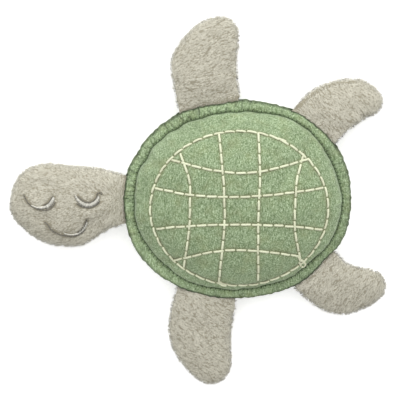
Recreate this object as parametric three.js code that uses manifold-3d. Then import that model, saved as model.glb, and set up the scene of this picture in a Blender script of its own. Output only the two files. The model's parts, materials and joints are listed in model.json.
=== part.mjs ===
// Plush turtle cat toy, filled with fibre and dried catnip.
// Two felt panels are sewn together with their raw edges outwards, so a flat frill runs round the
// shell. The head and the four flippers are stuffed plush pillows, each of an upper and a lower panel.
// Their flat roots are sewn in between the two felts, and each limb bends up and down at its root.
// Units are millimetres. +Z is up, -X is the way the head points, and the origin is the middle of
// the flattened belly that the toy lies on.
import * as THREE from 'three';
import { mergeVertices } from 'three/addons/utils/BufferGeometryUtils.js';
import Module from 'manifold-3d';

const wasm = await Module();
wasm.setup();

// Driving sizes

const clearance = 0.3;        // between pieces that touch

const shellLength = 85.5;     // outer edge to outer edge, from head to tail
const shellWidth = 75;        // outer edge to outer edge, from side to side
const feltThickness = 1.2;
const seamAllowance = 3.4;    // from the felt's cut edge to the seam
const crownHeight = 17.5;     // top of the shell above the seam
const bellyDepth = 9.5;       // the belly's full roundness below the seam
const bellyFlat = 0.5;        // how far the belly is flattened where the toy lies on it
const crownLean = 1.2;        // the stuffing sits this far to the left
const edgeRipple = 0.35;      // how far the cut edge wanders in and out
const edgeRipples = 11;

const catnipWidth = 26;       // across the lump of dried catnip
const catnipHeight = 11;

const seamThread = 0.6;       // thread diameters
const embroideryThread = 0.8;
const faceThread = 0.6;
const stitchLength = 4.0;     // one running stitch of the shell's embroidery
const faceStitchLength = 1.6;

const plushThickness = 1.6;   // backing and pile
const tabThickness = 1.6;     // two layers of plush, pressed flat in the seam
const tabReach = 2.0;         // how far a root goes in past the seam
const hingeReach = 1.0;       // from the felt's edge out to where a limb bends
const rootRise = 9;           // a limb swells to its full thickness over this length
const floorGap = 0.2;         // under a limb that all but lies on the floor

// The embroidered oval and its lattice, seen from above. Each line's place is given where it
// crosses the middle, and bow is how much further out it ends at the oval.
const oval = { x: 1.0, y: -1.7, halfLength: 32.7, halfWidth: 28.6 };
const crossLines = [
  { at: -18.4, bow: 3.4 },
  { at: -5.5, bow: 1.9 },
  { at: 7.3, bow: 0 },
  { at: 20.9, bow: 2.4 },
];
const longLines = [
  { at: 13.6, bow: 4.6 },
  { at: 4.2, bow: 3.2 },
  { at: -6.1, bow: 1.8 },
  { at: -16.0, bow: 2.7 },
];

// Limbs. rim is where the root's middle sits on the shell's edge, as an angle from the tail.
// In a limb's own plane X runs out from the root and Y along it. The outline runs from one end of
// the root round a circular tip to the other end: reach and sweep place the tip's centre, and each
// edge has two handles, [length, direction] at the root and the length at the tip, which bend it.
const frontFlipper = {
  root: 24.2, tip: 8.3, swell: 4.8, tipSwell: 4.2,
  lead: { root: [15, 3], tip: 16, turn: 48 },
  trail: { root: [7, -10], tip: 7, turn: 82 },
};
const rearFlipper = {
  root: 20.2, tip: 6.4, swell: 4.4, tipSwell: 3.8,
  lead: { root: [10, 4], tip: 14, turn: 57 },
  trail: { root: [6, -14], tip: 5, turn: 82 },
};
const limbs = [
  { name: 'front_right_flipper', form: frontFlipper, rim: 104.5, reach: 23.1, sweep: 21 },
  { name: 'front_left_flipper', form: frontFlipper, rim: -105.8, reach: 26.1, sweep: 17.4 },
  { name: 'rear_right_flipper', form: rearFlipper, rim: 46.6, reach: 20.7, sweep: 23.5 },
  { name: 'rear_left_flipper', form: rearFlipper, rim: -47.8, reach: 21.8, sweep: 33 },
];
const head = {
  name: 'head', rim: 180, reach: 26.5, sweep: -4.7,
  form: {
    root: 18.6, tip: 14.5, swell: 6.4, tipSwell: 8.3,
    lead: { root: [15, 36], tip: 12, turn: 76 },
    trail: { root: [7, -16], tip: 8, turn: 97 },
  },
};
// Closed eyes and a smile: arcs that hang from their two ends, seen from above.
const faceArcs = [
  { name: 'left_eye_stitches', x: -73.5, y: 2.6, halfWidth: 5.9, drop: 5.8 },
  { name: 'right_eye_stitches', x: -55.9, y: 2.4, halfWidth: 5.0, drop: 4.3 },
  { name: 'mouth_stitches', x: -63.7, y: -7.5, halfWidth: 7.5, drop: 5.9 },
];

// Materials

const cloth = (color, roughness) => new THREE.MeshStandardMaterial({ color, roughness, metalness: 0 });
const greenFelt = cloth(0x9bb08a, 0.95);
const beigePlush = cloth(0xc3bcab, 1);
const creamThread = cloth(0xf0e8c6, 0.7);
const greenThread = cloth(0x3f5a3a, 0.8);
const greyThread = cloth(0x8f8d88, 0.7);
const whiteFibre = cloth(0xf4f2ee, 1);
const driedLeaf = cloth(0x7d8557, 1);

// Solids from rings
// A ring is a list of points going the same way round in every ring. Joined rings make a wall, and
// a flat-ish cap closes each end. With the rings turning to the left and climbing, faces point out.

function solid(positions, indices) {
  const geometry = new THREE.BufferGeometry();
  geometry.setAttribute('position', new THREE.Float32BufferAttribute(positions, 3));
  geometry.setIndex(indices);
  geometry.computeVertexNormals();
  return geometry;
}

function wall(rings, closed) {
  const count = rings[0].length;
  const indices = [];
  const last = closed ? rings.length : rings.length - 1;
  for (let r = 0; r < last; r++) {
    const below = r * count;
    const above = ((r + 1) % rings.length) * count;
    for (let i = 0; i < count; i++) {
      const j = (i + 1) % count;
      indices.push(below + i, below + j, above + j, below + i, above + j, above + i);
    }
  }
  return indices;
}

function loft(rings) {
  const count = rings[0].length;
  const indices = wall(rings, false);
  const capOf = (ring) => {
    const contour = ring.map((p) => new THREE.Vector2(p.x, p.y));
    return THREE.ShapeUtils.triangulateShape(contour, []);
  };
  const top = (rings.length - 1) * count;
  for (const [a, b, c] of capOf(rings[0])) indices.push(a, c, b);
  for (const [a, b, c] of capOf(rings[rings.length - 1])) indices.push(top + a, top + b, top + c);
  return solid(rings.flat().flatMap((p) => [p.x, p.y, p.z]), indices);
}

// A body's rings raised, and turned over below the plane that they stand on
const eachPoint = (rings, change) => rings.map((ring) => ring.map(change));
const raised = (rings, by) => eachPoint(rings, (p) => new THREE.Vector3(p.x, p.y, p.z + by));
const turnedOver = (rings) => eachPoint(rings, (p) => new THREE.Vector3(p.x, p.y, -p.z)).reverse();

const mesh = (name, geometry, material) => {
  const made = new THREE.Mesh(geometry, material);
  made.name = name;
  return made;
};

// The shell's form
// Every ring of the shell has its points at the same angles, so neighbours stay parallel.

const sectors = 56;
const halfLength = shellLength / 2;
const halfWidth = shellWidth / 2;
const seamHeight = bellyDepth - bellyFlat;
const radians = THREE.MathUtils.degToRad;
const angles = Array.from({ length: sectors }, (_, i) => (i * 2 * Math.PI) / sectors);
const allLimbs = [head, ...limbs];

const rimPoint = (angle, inset = 0) => new THREE.Vector2(
  (halfLength - inset) * Math.cos(angle),
  (halfWidth - inset) * Math.sin(angle),
);
const rimHeading = (angle) => Math.atan2(Math.sin(angle) / halfWidth, Math.cos(angle) / halfLength);

// How far each felt stands off the seam's plane: next to nothing where felt lies on felt, and
// half a root's thickness where a limb is sewn in between.
function standOff(angle) {
  const flat = clearance / 2;
  const spread = tabThickness / 2 + clearance;
  const slope = 3.5;          // the felts close again over this length beside a root
  let most = 0;
  for (const limb of allLimbs) {
    const away = rimPoint(angle).distanceTo(rimPoint(radians(limb.rim)));
    const past = away - limb.form.root / 2 - clearance;
    most = Math.max(most, 1 - THREE.MathUtils.smoothstep(past, 0, slope));
  }
  return flat + (spread - flat) * most;
}

// A stuffed felt rises steeply from the seam and is nearly flat on top.
const fullness = 2.3;
const roundness = 1.5;
const domeShare = (scale) => (1 - scale ** fullness) ** (1 / roundness);
const domeScale = (share) => (1 - share ** roundness) ** (1 / fullness);

// One ring of a dome: scale 1 is its foot at the seam and 0 its crown.
function domeRing(scale, foot, from, height, lean = crownLean) {
  const share = domeShare(scale);
  return angles.map((angle) => {
    const start = from(angle);
    return new THREE.Vector3(
      (halfLength - foot) * scale * Math.cos(angle),
      (halfWidth - foot) * scale * Math.sin(angle) - lean * (1 - scale ** 2),
      start + (height - start) * share,
    );
  });
}

function frillRing(inset, rise) {
  return angles.map((angle) => {
    const ripple = edgeRipple * Math.sin(edgeRipples * angle) * (1 - inset / seamAllowance);
    const edge = rimPoint(angle, inset - ripple);
    return new THREE.Vector3(edge.x, edge.y, rise(angle));
  });
}

const scalesUp = [0.98, 0.93, 0.84, 0.7, 0.5, 0.26];
const innerScales = [1, 0.95, 0.84, 0.66, 0.4];
const innerFoot = seamAllowance + feltThickness;

// Upper felt: dome, crease at the seam and the flat frill outside it

const overFelt = (angle) => standOff(angle) + feltThickness;

function feltPanel(outer, inner) {
  return [
    ...inner.toReversed(),
    frillRing(0, standOff),
    frillRing(0, overFelt),
    frillRing(seamAllowance, overFelt),
    ...outer,
  ];
}

const upperFelt = feltPanel(
  scalesUp.map((s) => domeRing(s, seamAllowance, overFelt, crownHeight)),
  innerScales.map((s) => domeRing(s, innerFoot, standOff, crownHeight - feltThickness)),
);

// Lower felt: the same frill with a shallower belly, flattened where it lies on the floor

const bellyEdge = domeScale(1 - bellyFlat / (bellyDepth - feltThickness));
const bellyScales = [0.97, 0.88, 0.74, bellyEdge, bellyEdge * 0.5];
const bellyInner = [1, 0.93, 0.78, bellyEdge];
const flattened = (ring, depth) => ring.map((p) => new THREE.Vector3(p.x, p.y, Math.min(p.z, depth)));

const lowerFelt = turnedOver(feltPanel(
  bellyScales.map((s) => flattened(domeRing(s, seamAllowance, overFelt, bellyDepth, 0), seamHeight)),
  bellyInner.map((s) => flattened(
    domeRing(s, innerFoot, standOff, bellyDepth - feltThickness, 0),
    seamHeight - feltThickness,
  )),
));

// Fibre filling, hollowed underneath for the lump of catnip

const fillingFoot = innerFoot + tabReach + clearance;
const fillingTop = crownHeight - feltThickness - clearance;
const fillingDeep = bellyDepth - feltThickness - clearance;
const fillingFloor = seamHeight - feltThickness - clearance;
const atSeam = () => 0;
const pocketRing = (width, z) => angles.map((a) => new THREE.Vector3(
  (width / 2) * Math.cos(a),
  (width / 2) * Math.sin(a),
  z,
));
// The lump bulges: shares of its width at shares of its height
const lump = [[0.5, 0], [0.9, 0.25], [1, 0.5], [0.85, 0.8], [0.4, 1]];
const lumpRing = ([across, up], gap) => pocketRing(
  catnipWidth * across + 2 * gap,
  catnipHeight * up - fillingFloor + (up === 1 ? gap : 0),
);
const fillingBelly = bellyInner.slice(1).map((s) => flattened(
  domeRing(s, fillingFoot, atSeam, fillingDeep, 0),
  fillingFloor,
));
const filling = [
  ...lump.map((level) => lumpRing(level, clearance)).toReversed(),
  ...turnedOver(fillingBelly),
  ...innerScales.map((s) => domeRing(s, fillingFoot, atSeam, fillingTop)),
];
const catnip = lump.map((level) => lumpRing(level, 0));

// Threads
// A thread lies on a surface, and turns with the surface's normal at each of its points.

const threadSides = 4;

function threadSolid(points, normals, diameter, closed = false) {
  const count = points.length;
  const rings = points.map((point, i) => {
    const before = points[closed ? (i + count - 1) % count : Math.max(i - 1, 0)];
    const after = points[closed ? (i + 1) % count : Math.min(i + 1, count - 1)];
    const along = after.clone().sub(before).normalize();
    const side = new THREE.Vector3().crossVectors(normals[i], along).normalize();
    const up = new THREE.Vector3().crossVectors(along, side);
    return Array.from({ length: threadSides }, (_, k) => {
      const turn = ((k + 0.5) * 2 * Math.PI) / threadSides;
      return point.clone()
        .addScaledVector(side, (diameter / 2) * Math.cos(turn))
        .addScaledVector(up, (diameter / 2) * Math.sin(turn));
    });
  });
  const indices = wall(rings, closed);
  if (!closed) {
    const last = (count - 1) * threadSides;
    indices.push(0, 2, 1, 0, 3, 2, last, last + 1, last + 2, last, last + 2, last + 3);
  }
  return solid(rings.flat().flatMap((p) => [p.x, p.y, p.z]), indices);
}

// The two threads of the rim's seam, one on each felt, in the crease beside the dome
const seamLift = feltThickness + clearance + seamThread / 2;
const seamInset = seamAllowance - clearance - seamThread / 2;
const rimSeam = frillRing(seamInset, (angle) => standOff(angle) + seamLift);
const straightUp = angles.map(() => new THREE.Vector3(0, 0, 1));

// The shell's outer surface above a point of the plan, found by halving
function domeAt(x, y) {
  const outside = (scale) => {
    const cx = x / ((halfLength - seamAllowance) * scale);
    const cy = (y + crownLean * (1 - scale ** 2)) / ((halfWidth - seamAllowance) * scale);
    return cx * cx + cy * cy > 1;
  };
  let low = 1e-4;
  let high = 1;
  for (let i = 0; i < 30; i++) {
    const middle = (low + high) / 2;
    if (outside(middle)) low = middle;
    else high = middle;
  }
  const foot = overFelt(Math.atan2(y / halfWidth, x / halfLength));
  return foot + (crownHeight - foot) * domeShare(Math.min(high, 1 - 1e-9));
}

function normalOf(heightAt, x, y) {
  const step = 0.2;
  const slopeX = (heightAt(x + step, y) - heightAt(x - step, y)) / (2 * step);
  const slopeY = (heightAt(x, y + step) - heightAt(x, y - step)) / (2 * step);
  return new THREE.Vector3(-slopeX, -slopeY, 1).normalize();
}

// Lays a flat line of stitches on a surface, with a point at each needle hole
function stitched(plan, heightAt, stitch, diameter, closed = false) {
  const curve = new THREE.CatmullRomCurve3(plan.map(([x, y]) => new THREE.Vector3(x, y, 0)), closed);
  const flat = curve.getSpacedPoints(Math.max(2, Math.round(curve.getLength() / stitch)));
  if (closed) flat.pop();
  const normals = flat.map((p) => normalOf(heightAt, p.x, p.y));
  const points = flat.map((p, i) => new THREE.Vector3(p.x, p.y, heightAt(p.x, p.y))
    .addScaledVector(normals[i], clearance + diameter / 2));
  return threadSolid(points, normals, diameter, closed);
}

const steps = (count) => Array.from({ length: count + 1 }, (_, i) => i / count);
const ovalPlan = steps(40).slice(0, -1).map((t) => [
  oval.x + oval.halfLength * Math.cos(t * 2 * Math.PI),
  oval.y + oval.halfWidth * Math.sin(t * 2 * Math.PI),
]);

// A line of the lattice runs from side to side of the oval, and ends where its bowed course meets
// the oval's own stitches. Along is the oval's half size along the line and across the other one.
function latticePlan({ at, bow }, across, along) {
  const end = at + Math.sign(at) * bow;
  const half = along * Math.sqrt(1 - (end / across) ** 2);
  return steps(12).map((t) => {
    const run = (2 * t - 1) * half;
    return [run, at + (end - at) * (run / half) ** 2];
  });
}

const manifoldOf = (geometry) => {
  const bare = geometry.clone();
  bare.deleteAttribute('normal');
  const merged = mergeVertices(bare, 1e-4);
  return new wasm.Manifold(new wasm.Mesh({
    numProp: 3,
    vertProperties: merged.attributes.position.array,
    triVerts: new Uint32Array(merged.index.array),
  }));
};

function geometryOf(manifold) {
  const made = manifold.getMesh();
  const positions = [];
  for (let i = 0; i < made.numVert; i++) {
    positions.push(...made.vertProperties.subarray(i * made.numProp, i * made.numProp + 3));
  }
  return solid(positions, Array.from(made.triVerts));
}

const latticeLines = [
  ...crossLines.map((line) => latticePlan(line, oval.halfLength, oval.halfWidth)
    .map(([run, x]) => [oval.x + x, oval.y + run])),
  ...longLines.map((line) => latticePlan(line, oval.halfWidth, oval.halfLength)
    .map(([run, y]) => [oval.x + run, oval.y + y])),
];
const embroidery = [
  stitched(ovalPlan, domeAt, stitchLength, embroideryThread, true),
  ...latticeLines.map((plan) => stitched(plan, domeAt, stitchLength, embroideryThread)),
].map(manifoldOf).reduce((all, line) => all.add(line));

// A limb's outline, and a pillow over it

const outlinePoints = 26;

// Each edge meets the tip's circle where the form's turn says, in degrees round from the foremost
// point of the circle, and follows the circle's tangent there.
function limbOutline({ form, reach, sweep }) {
  const way = -radians(sweep);
  const tip = new THREE.Vector2(reach * Math.cos(way), reach * Math.sin(way));
  const outward = (turn) => new THREE.Vector2(Math.cos(way + turn), Math.sin(way + turn));
  const onTip = (turn) => tip.clone().addScaledVector(outward(turn), form.tip);
  const trailTurn = -radians(form.trail.turn);
  const leadTurn = radians(form.lead.turn);
  const tangent = (turn) => new THREE.Vector2(-Math.sin(way + turn), Math.cos(way + turn));
  const handle = ([length, direction], side) => new THREE.Vector2(
    clearance + length * Math.cos(radians(direction)),
    side * (form.root / 2 + length * Math.sin(radians(direction))),
  );
  const trailStart = new THREE.Vector2(clearance, -form.root / 2);
  const leadEnd = new THREE.Vector2(clearance, form.root / 2);
  const trailMeets = onTip(trailTurn);
  const leadMeets = onTip(leadTurn);
  const trailHandle = handle([form.trail.root[0], -form.trail.root[1]], -1);
  const leadHandle = handle(form.lead.root, 1);
  const shape = new THREE.Shape();
  shape.moveTo(trailStart.x, trailStart.y);
  const intoTip = trailMeets.clone().addScaledVector(tangent(trailTurn), -form.trail.tip);
  shape.bezierCurveTo(trailHandle.x, trailHandle.y, intoTip.x, intoTip.y, trailMeets.x, trailMeets.y);
  shape.absarc(tip.x, tip.y, form.tip, way + trailTurn, way + leadTurn, false);
  const outOfTip = leadMeets.clone().addScaledVector(tangent(leadTurn), form.lead.tip);
  shape.bezierCurveTo(outOfTip.x, outOfTip.y, leadHandle.x, leadHandle.y, leadEnd.x, leadEnd.y);
  shape.closePath();
  return { tip, outline: shape.getSpacedPoints(outlinePoints).slice(0, -1) };
}

// Each outline point is drawn in towards the limb's spine. Share 0 is the side seam and 1 the spine.
// The skin thins out to leastSwell at most, however deep under the outside a ring lies.
const leastSwell = 0.2;
const sideRoundness = 0.6;    // below 0.5 a limb's side would bulge past a half circle
function pillow(limb) {
  const { form } = limb;
  const { tip, outline } = limbOutline(limb);
  const start = new THREE.Vector2(Math.min(rootRise / 2, tip.x / 2), 0);
  const spine = tip.clone().sub(start);
  const ribs = outline.map((edge) => {
    const along = THREE.MathUtils.clamp(edge.clone().sub(start).dot(spine) / spine.lengthSq(), 0, 1);
    const middle = start.clone().addScaledVector(spine, along);
    const swell = form.swell + (form.tipSwell - form.swell) * along;
    return { edge, middle, reach: edge.distanceTo(middle), swell };
  });
  const bulge = (share) => (1 - (1 - share) ** 2) ** sideRoundness;
  const fromRoot = (x) => {
    const part = THREE.MathUtils.clamp(x / rootRise, 0, 1);
    return part * (2 - part);
  };
  // A ring at a share of the way in, of a surface lying a given depth under the outside.
  return (share, depth, base) => ribs.map(({ edge, middle, reach, swell }) => {
    const first = Math.min(depth / reach, 0.8);
    const at = first + (1 - first) * share;
    const place = edge.clone().lerp(middle, at);
    const height = Math.max(swell - depth, leastSwell) * bulge(share) * fromRoot(place.x);
    return new THREE.Vector3(place.x, place.y, base + height);
  });
}

const outerShares = [0, 0.12, 0.35, 0.65, 0.94];
const innerShares = [0, 0.18, 0.5, 0.9];

function panelRings(ring) {
  const base = clearance / 2;
  return [
    ...innerShares.map((share) => ring(share, plushThickness, base)).toReversed(),
    ...outerShares.map((share) => ring(share, 0, base)),
  ];
}

function fillingRings(ring) {
  const depth = plushThickness + 2 * clearance;
  const upper = innerShares.map((share) => ring(share, depth, 0));
  return [...turnedOver(upper.slice(1)), ...upper];
}

// How far a limb hangs about its bend, in radians, so that its lowest point all but touches the floor
function droopOf(ring) {
  const under = outerShares.flatMap((share) => ring(share, 0, clearance / 2));
  const sunk = (p, droop) => -p.x * Math.sin(droop) - p.z * Math.cos(droop);
  const lowest = (droop) => Math.min(...under.map((p) => sunk(p, droop)));
  let low = 0;
  let high = Math.PI / 4;
  for (let i = 0; i < 30; i++) {
    const middle = (low + high) / 2;
    if (lowest(middle) > floorGap - seamHeight) low = middle;
    else high = middle;
  }
  return low;
}

// The flat root of a limb, held between the felts as far as the line where the limb bends
function tabSolid({ form }) {
  const inner = -(hingeReach + seamAllowance + tabReach);
  const corner = 1.5;
  const half = form.root / 2 - clearance;
  const shape = new THREE.Shape();
  shape.moveTo(0, -half);
  shape.lineTo(0, half);
  shape.lineTo(inner + corner, half - corner);
  shape.quadraticCurveTo(inner, half - corner, inner, half - 2 * corner);
  shape.lineTo(inner, -half + 2 * corner);
  shape.quadraticCurveTo(inner, -half + corner, inner + corner, -half + corner);
  shape.closePath();
  const flat = new THREE.ExtrudeGeometry(shape, {
    depth: tabThickness,
    bevelEnabled: false,
    curveSegments: 2,
  });
  return flat.translate(0, 0, -tabThickness / 2);
}

function limbGroup(limb) {
  const rim = radians(limb.rim);
  const heading = rimHeading(rim);
  const edge = rimPoint(rim);
  const root = new THREE.Group();
  root.position.set(
    edge.x + hingeReach * Math.cos(heading),
    edge.y + hingeReach * Math.sin(heading),
    seamHeight,
  );
  root.rotation.z = heading;
  root.add(mesh(`${limb.name}_root_tab`, tabSolid(limb), beigePlush));

  // Limbs on the other side are the same pattern turned over.
  const flipped = limb.rim < 0;
  const facing = (rings) => (flipped
    ? rings.map((ring) => ring.map((p) => new THREE.Vector3(p.x, -p.y, p.z)).reverse())
    : rings);
  const ring = pillow(limb);
  const panel = panelRings(ring);
  const moving = new THREE.Group();
  moving.rotation.y = droopOf(ring);
  moving.add(
    mesh(`${limb.name}_upper_plush`, loft(facing(panel)), beigePlush),
    mesh(`${limb.name}_lower_plush`, loft(facing(turnedOver(panel))), beigePlush),
    mesh(`${limb.name}_filling`, loft(facing(fillingRings(ring))), whiteFibre),
  );
  root.add(moving);
  return { root, moving, ring };
}

// Assembly

const toy = new THREE.Group();
toy.add(
  mesh('upper_shell_felt', loft(raised(upperFelt, seamHeight)), greenFelt),
  mesh('lower_shell_felt', loft(raised(lowerFelt, seamHeight)), greenFelt),
  mesh('shell_filling', loft(raised(filling, seamHeight)), whiteFibre),
  mesh('catnip', loft(raised(catnip, seamHeight)), driedLeaf),
);

const onSeam = new THREE.Group();
onSeam.position.z = seamHeight;
onSeam.add(
  mesh('upper_seam_thread', threadSolid(rimSeam, straightUp, seamThread, true), greenThread),
  mesh('lower_seam_thread', threadSolid(
    rimSeam.map((p) => new THREE.Vector3(p.x, p.y, -p.z)),
    straightUp,
    seamThread,
    true,
  ), greenThread),
  mesh('shell_embroidery', geometryOf(embroidery), creamThread),
);
toy.add(onSeam);

for (const limb of limbs) toy.add(limbGroup(limb).root);

// The face lies on the head's upper panel, so its arcs are laid out from above and follow the head.
const headParts = limbGroup(head);
toy.add(headParts.root);

// The upper panel's height above a point of its plan, from the nearest of its ring points
function headHeight(x, y) {
  let best = 0;
  let nearest = Infinity;
  for (const share of steps(24)) {
    for (const p of headParts.ring(share, 0, clearance / 2)) {
      const away = Math.hypot(p.x - x, p.y - y);
      if (away < nearest) {
        nearest = away;
        best = p.z;
      }
    }
  }
  return best;
}

for (const arc of faceArcs) {
  const plan = steps(8).map((t) => {
    const turn = Math.PI * (1 + t);
    const x = arc.x + arc.halfWidth * Math.cos(turn);
    const y = arc.y + arc.drop * Math.sin(turn);
    return [-(x + halfLength + hingeReach), -y];
  });
  const arcSolid = stitched(plan, headHeight, faceStitchLength, faceThread);
  headParts.moving.add(mesh(arc.name, arcSolid, greyThread));
}

export default toy;
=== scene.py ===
import json
import math
import random

import bpy
import numpy as np
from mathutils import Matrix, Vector, noise
from mathutils.bvhtree import BVHTree


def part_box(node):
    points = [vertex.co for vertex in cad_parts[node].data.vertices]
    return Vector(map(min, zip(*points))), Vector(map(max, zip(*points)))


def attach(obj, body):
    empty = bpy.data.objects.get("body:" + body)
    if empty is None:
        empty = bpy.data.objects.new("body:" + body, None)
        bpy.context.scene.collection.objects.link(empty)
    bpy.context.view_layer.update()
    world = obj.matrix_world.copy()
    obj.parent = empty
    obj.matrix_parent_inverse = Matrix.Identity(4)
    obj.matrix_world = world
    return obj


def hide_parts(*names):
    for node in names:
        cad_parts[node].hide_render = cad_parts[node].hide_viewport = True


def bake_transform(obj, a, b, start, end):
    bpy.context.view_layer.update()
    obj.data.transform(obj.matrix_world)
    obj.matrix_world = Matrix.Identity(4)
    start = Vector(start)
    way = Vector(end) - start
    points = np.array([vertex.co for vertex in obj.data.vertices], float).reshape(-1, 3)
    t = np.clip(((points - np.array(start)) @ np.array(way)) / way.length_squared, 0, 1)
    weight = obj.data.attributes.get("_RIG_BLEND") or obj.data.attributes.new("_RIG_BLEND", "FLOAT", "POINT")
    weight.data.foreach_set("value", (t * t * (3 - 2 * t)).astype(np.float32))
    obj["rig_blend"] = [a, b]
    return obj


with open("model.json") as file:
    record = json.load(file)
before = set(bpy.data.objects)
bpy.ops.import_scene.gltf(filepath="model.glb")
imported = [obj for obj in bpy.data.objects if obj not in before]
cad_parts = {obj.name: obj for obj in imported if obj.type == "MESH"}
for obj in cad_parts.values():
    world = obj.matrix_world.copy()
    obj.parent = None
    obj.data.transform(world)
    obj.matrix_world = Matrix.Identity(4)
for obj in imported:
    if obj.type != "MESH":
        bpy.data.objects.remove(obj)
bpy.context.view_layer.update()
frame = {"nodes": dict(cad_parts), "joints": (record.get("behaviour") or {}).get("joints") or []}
MM = 0.001

# Camera
# A long lens looks down on the toy, tilted a little so that it looks from the turtle's right side.
TILT = math.radians(8)
SEAM_Z = frame["joints"][0]["pos_m"][2]
PICTURE_Z = SEAM_Z + 1 * MM
VIEW_CENTRE = Vector((-13.69 * MM, -0.57 * MM, PICTURE_Z))
VIEW_WIDTH = 150 * MM
CAMERA_DISTANCE = 0.8
SENSOR_WIDTH = 36


def put_in_scene(name, data):
    made = bpy.data.objects.new(name, data)
    bpy.context.scene.collection.objects.link(made)
    return made


def sight(right, up):
    """The camera's ray through a point of the picture, in mm right of and above the shell's middle."""
    across = Vector((right * MM, up * MM * math.cos(TILT), PICTURE_Z - up * MM * math.sin(TILT)))
    return camera.location, (across - camera.location).normalized()


camera_data = bpy.data.cameras.new("camera")
camera_data.sensor_width = SENSOR_WIDTH
camera_data.lens = SENSOR_WIDTH * CAMERA_DISTANCE / VIEW_WIDTH
camera = put_in_scene("camera", camera_data)
camera.location = VIEW_CENTRE + CAMERA_DISTANCE * Vector((0, math.sin(TILT), math.cos(TILT)))
camera.rotation_euler = (-TILT, 0, 0)
bpy.context.scene.camera = camera
bpy.context.scene.view_settings.view_transform = "Standard"

# Floor and light
# A white paper sweep under the toy, one broad soft light from over the turtle's right side and an
# even sky round it. For the camera's own rays the paper glows a little and the sky is full white.
SKY = 0.62
KEY_STRENGTH = 2.4
KEY_SOFTNESS = math.radians(100)
KEY_TILT = (math.radians(-56), math.radians(3), 0)
FLOOR_SIZE = 3.0
FLOOR_DROP = 0.05 * MM
PAPER_GLOW = 0.5


def rgba(hex_colour):
    """An sRGB hex colour as the linear values that a shader takes."""
    parts = [int(hex_colour[i:i + 2], 16) / 255 for i in (1, 3, 5)]
    return [p / 12.92 if p <= 0.04045 else ((p + 0.055) / 1.055) ** 2.4 for p in parts] + [1]


def add(tree, kind, links=None, **settings):
    """Adds a node. links holds a value or another node's socket for each input."""
    made = tree.nodes.new(kind)
    for name, value in settings.items():
        setattr(made, name, value)
    for name, value in (links or {}).items():
        if isinstance(value, bpy.types.NodeSocket):
            tree.links.new(value, made.inputs[name])
        else:
            made.inputs[name].default_value = value
    return made


def new_material(name):
    """A material with an empty tree."""
    material = bpy.data.materials.new(name)
    material.use_nodes = True
    material.node_tree.nodes.clear()
    return material, material.node_tree


def calc(tree, operation, *values):
    """What a maths node makes of some values."""
    return add(tree, "ShaderNodeMath", dict(enumerate(values)), operation=operation).outputs[0]


def ranged(tree, value, before, after=(0.0, 1.0), kind="LINEAR"):
    """A value carried over from one range to another, and kept within it."""
    links = {
        "Value": value, "From Min": before[0], "From Max": before[1],
        "To Min": after[0], "To Max": after[1],
    }
    return add(tree, "ShaderNodeMapRange", links, interpolation_type=kind).outputs[0]


def mixed(tree, share, a, b):
    return add(tree, "ShaderNodeMix", {0: share, 2: a, 3: b}).outputs[0]


def mixed_colour(tree, share, a, b):
    return add(tree, "ShaderNodeMix", {0: share, 6: a, 7: b}, data_type="RGBA").outputs[2]


def toned(tree, colour, tone):
    """A colour made lighter or darker."""
    return add(tree, "ShaderNodeVectorMath", {0: colour, "Scale": tone}, operation="SCALE").outputs[0]


def flecks(tree, place, size, **inputs):
    """Noise in flecks about size mm across."""
    links = {"Vector": place, "Scale": 1 / (size * MM), **inputs}
    return add(tree, "ShaderNodeTexNoise", links).outputs["Fac"]


def colour_ramp(tree, value, dark, light):
    ramp = add(tree, "ShaderNodeValToRGB", {"Fac": value})
    ramp.color_ramp.elements[0].color = rgba(dark)
    ramp.color_ramp.elements[1].color = rgba(light)
    return ramp


def end_material(tree, colour, roughness, specular=0.5, sheen=0.0, sheen_roughness=0.5, relief=None):
    """Ends a fibre's material. relief is a height, its strength and its depth."""
    inputs = {
        "Base Color": colour, "Roughness": roughness, "Specular IOR Level": specular,
        "Sheen Weight": sheen, "Sheen Roughness": sheen_roughness,
    }
    if relief:
        height, strength, depth = relief
        bump = add(tree, "ShaderNodeBump", {"Height": height, "Strength": strength, "Distance": depth})
        inputs["Normal"] = bump.outputs[0]
    shader = add(tree, "ShaderNodeBsdfPrincipled", inputs)
    add(tree, "ShaderNodeOutputMaterial", {"Surface": shader.outputs[0]})


bpy.ops.mesh.primitive_plane_add(size=FLOOR_SIZE, location=(0, 0, -FLOOR_DROP))
floor = bpy.context.object
floor.name = "floor"
paper, tree = new_material("white_paper_sweep")
lit = add(tree, "ShaderNodeBsdfDiffuse", {"Color": rgba("#f4f4f2")}).outputs[0]
glow = add(tree, "ShaderNodeEmission", {"Color": rgba("#ffffff"), "Strength": PAPER_GLOW}).outputs[0]
both = add(tree, "ShaderNodeAddShader", {0: lit, 1: glow}).outputs[0]
seen = add(tree, "ShaderNodeLightPath").outputs["Is Camera Ray"]
sheet = add(tree, "ShaderNodeMixShader", {0: seen, 1: lit, 2: both})
add(tree, "ShaderNodeOutputMaterial", {"Surface": sheet.outputs[0]})
floor.data.materials.append(paper)

world = bpy.data.worlds.new("sky")
bpy.context.scene.world = world
world.use_nodes = True
world.node_tree.nodes.clear()
tree = world.node_tree
seen = add(tree, "ShaderNodeLightPath").outputs["Is Camera Ray"]
strength = ranged(tree, seen, (0.0, 1.0), (SKY, 1.0))
sky = add(tree, "ShaderNodeBackground", {"Color": rgba("#ffffff"), "Strength": strength})
add(tree, "ShaderNodeOutputWorld", {"Surface": sky.outputs[0]})

key_data = bpy.data.lights.new("key", "SUN")
key_data.energy = KEY_STRENGTH
key_data.angle = KEY_SOFTNESS
key = put_in_scene("key", key_data)
key.rotation_euler = KEY_TILT

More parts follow.
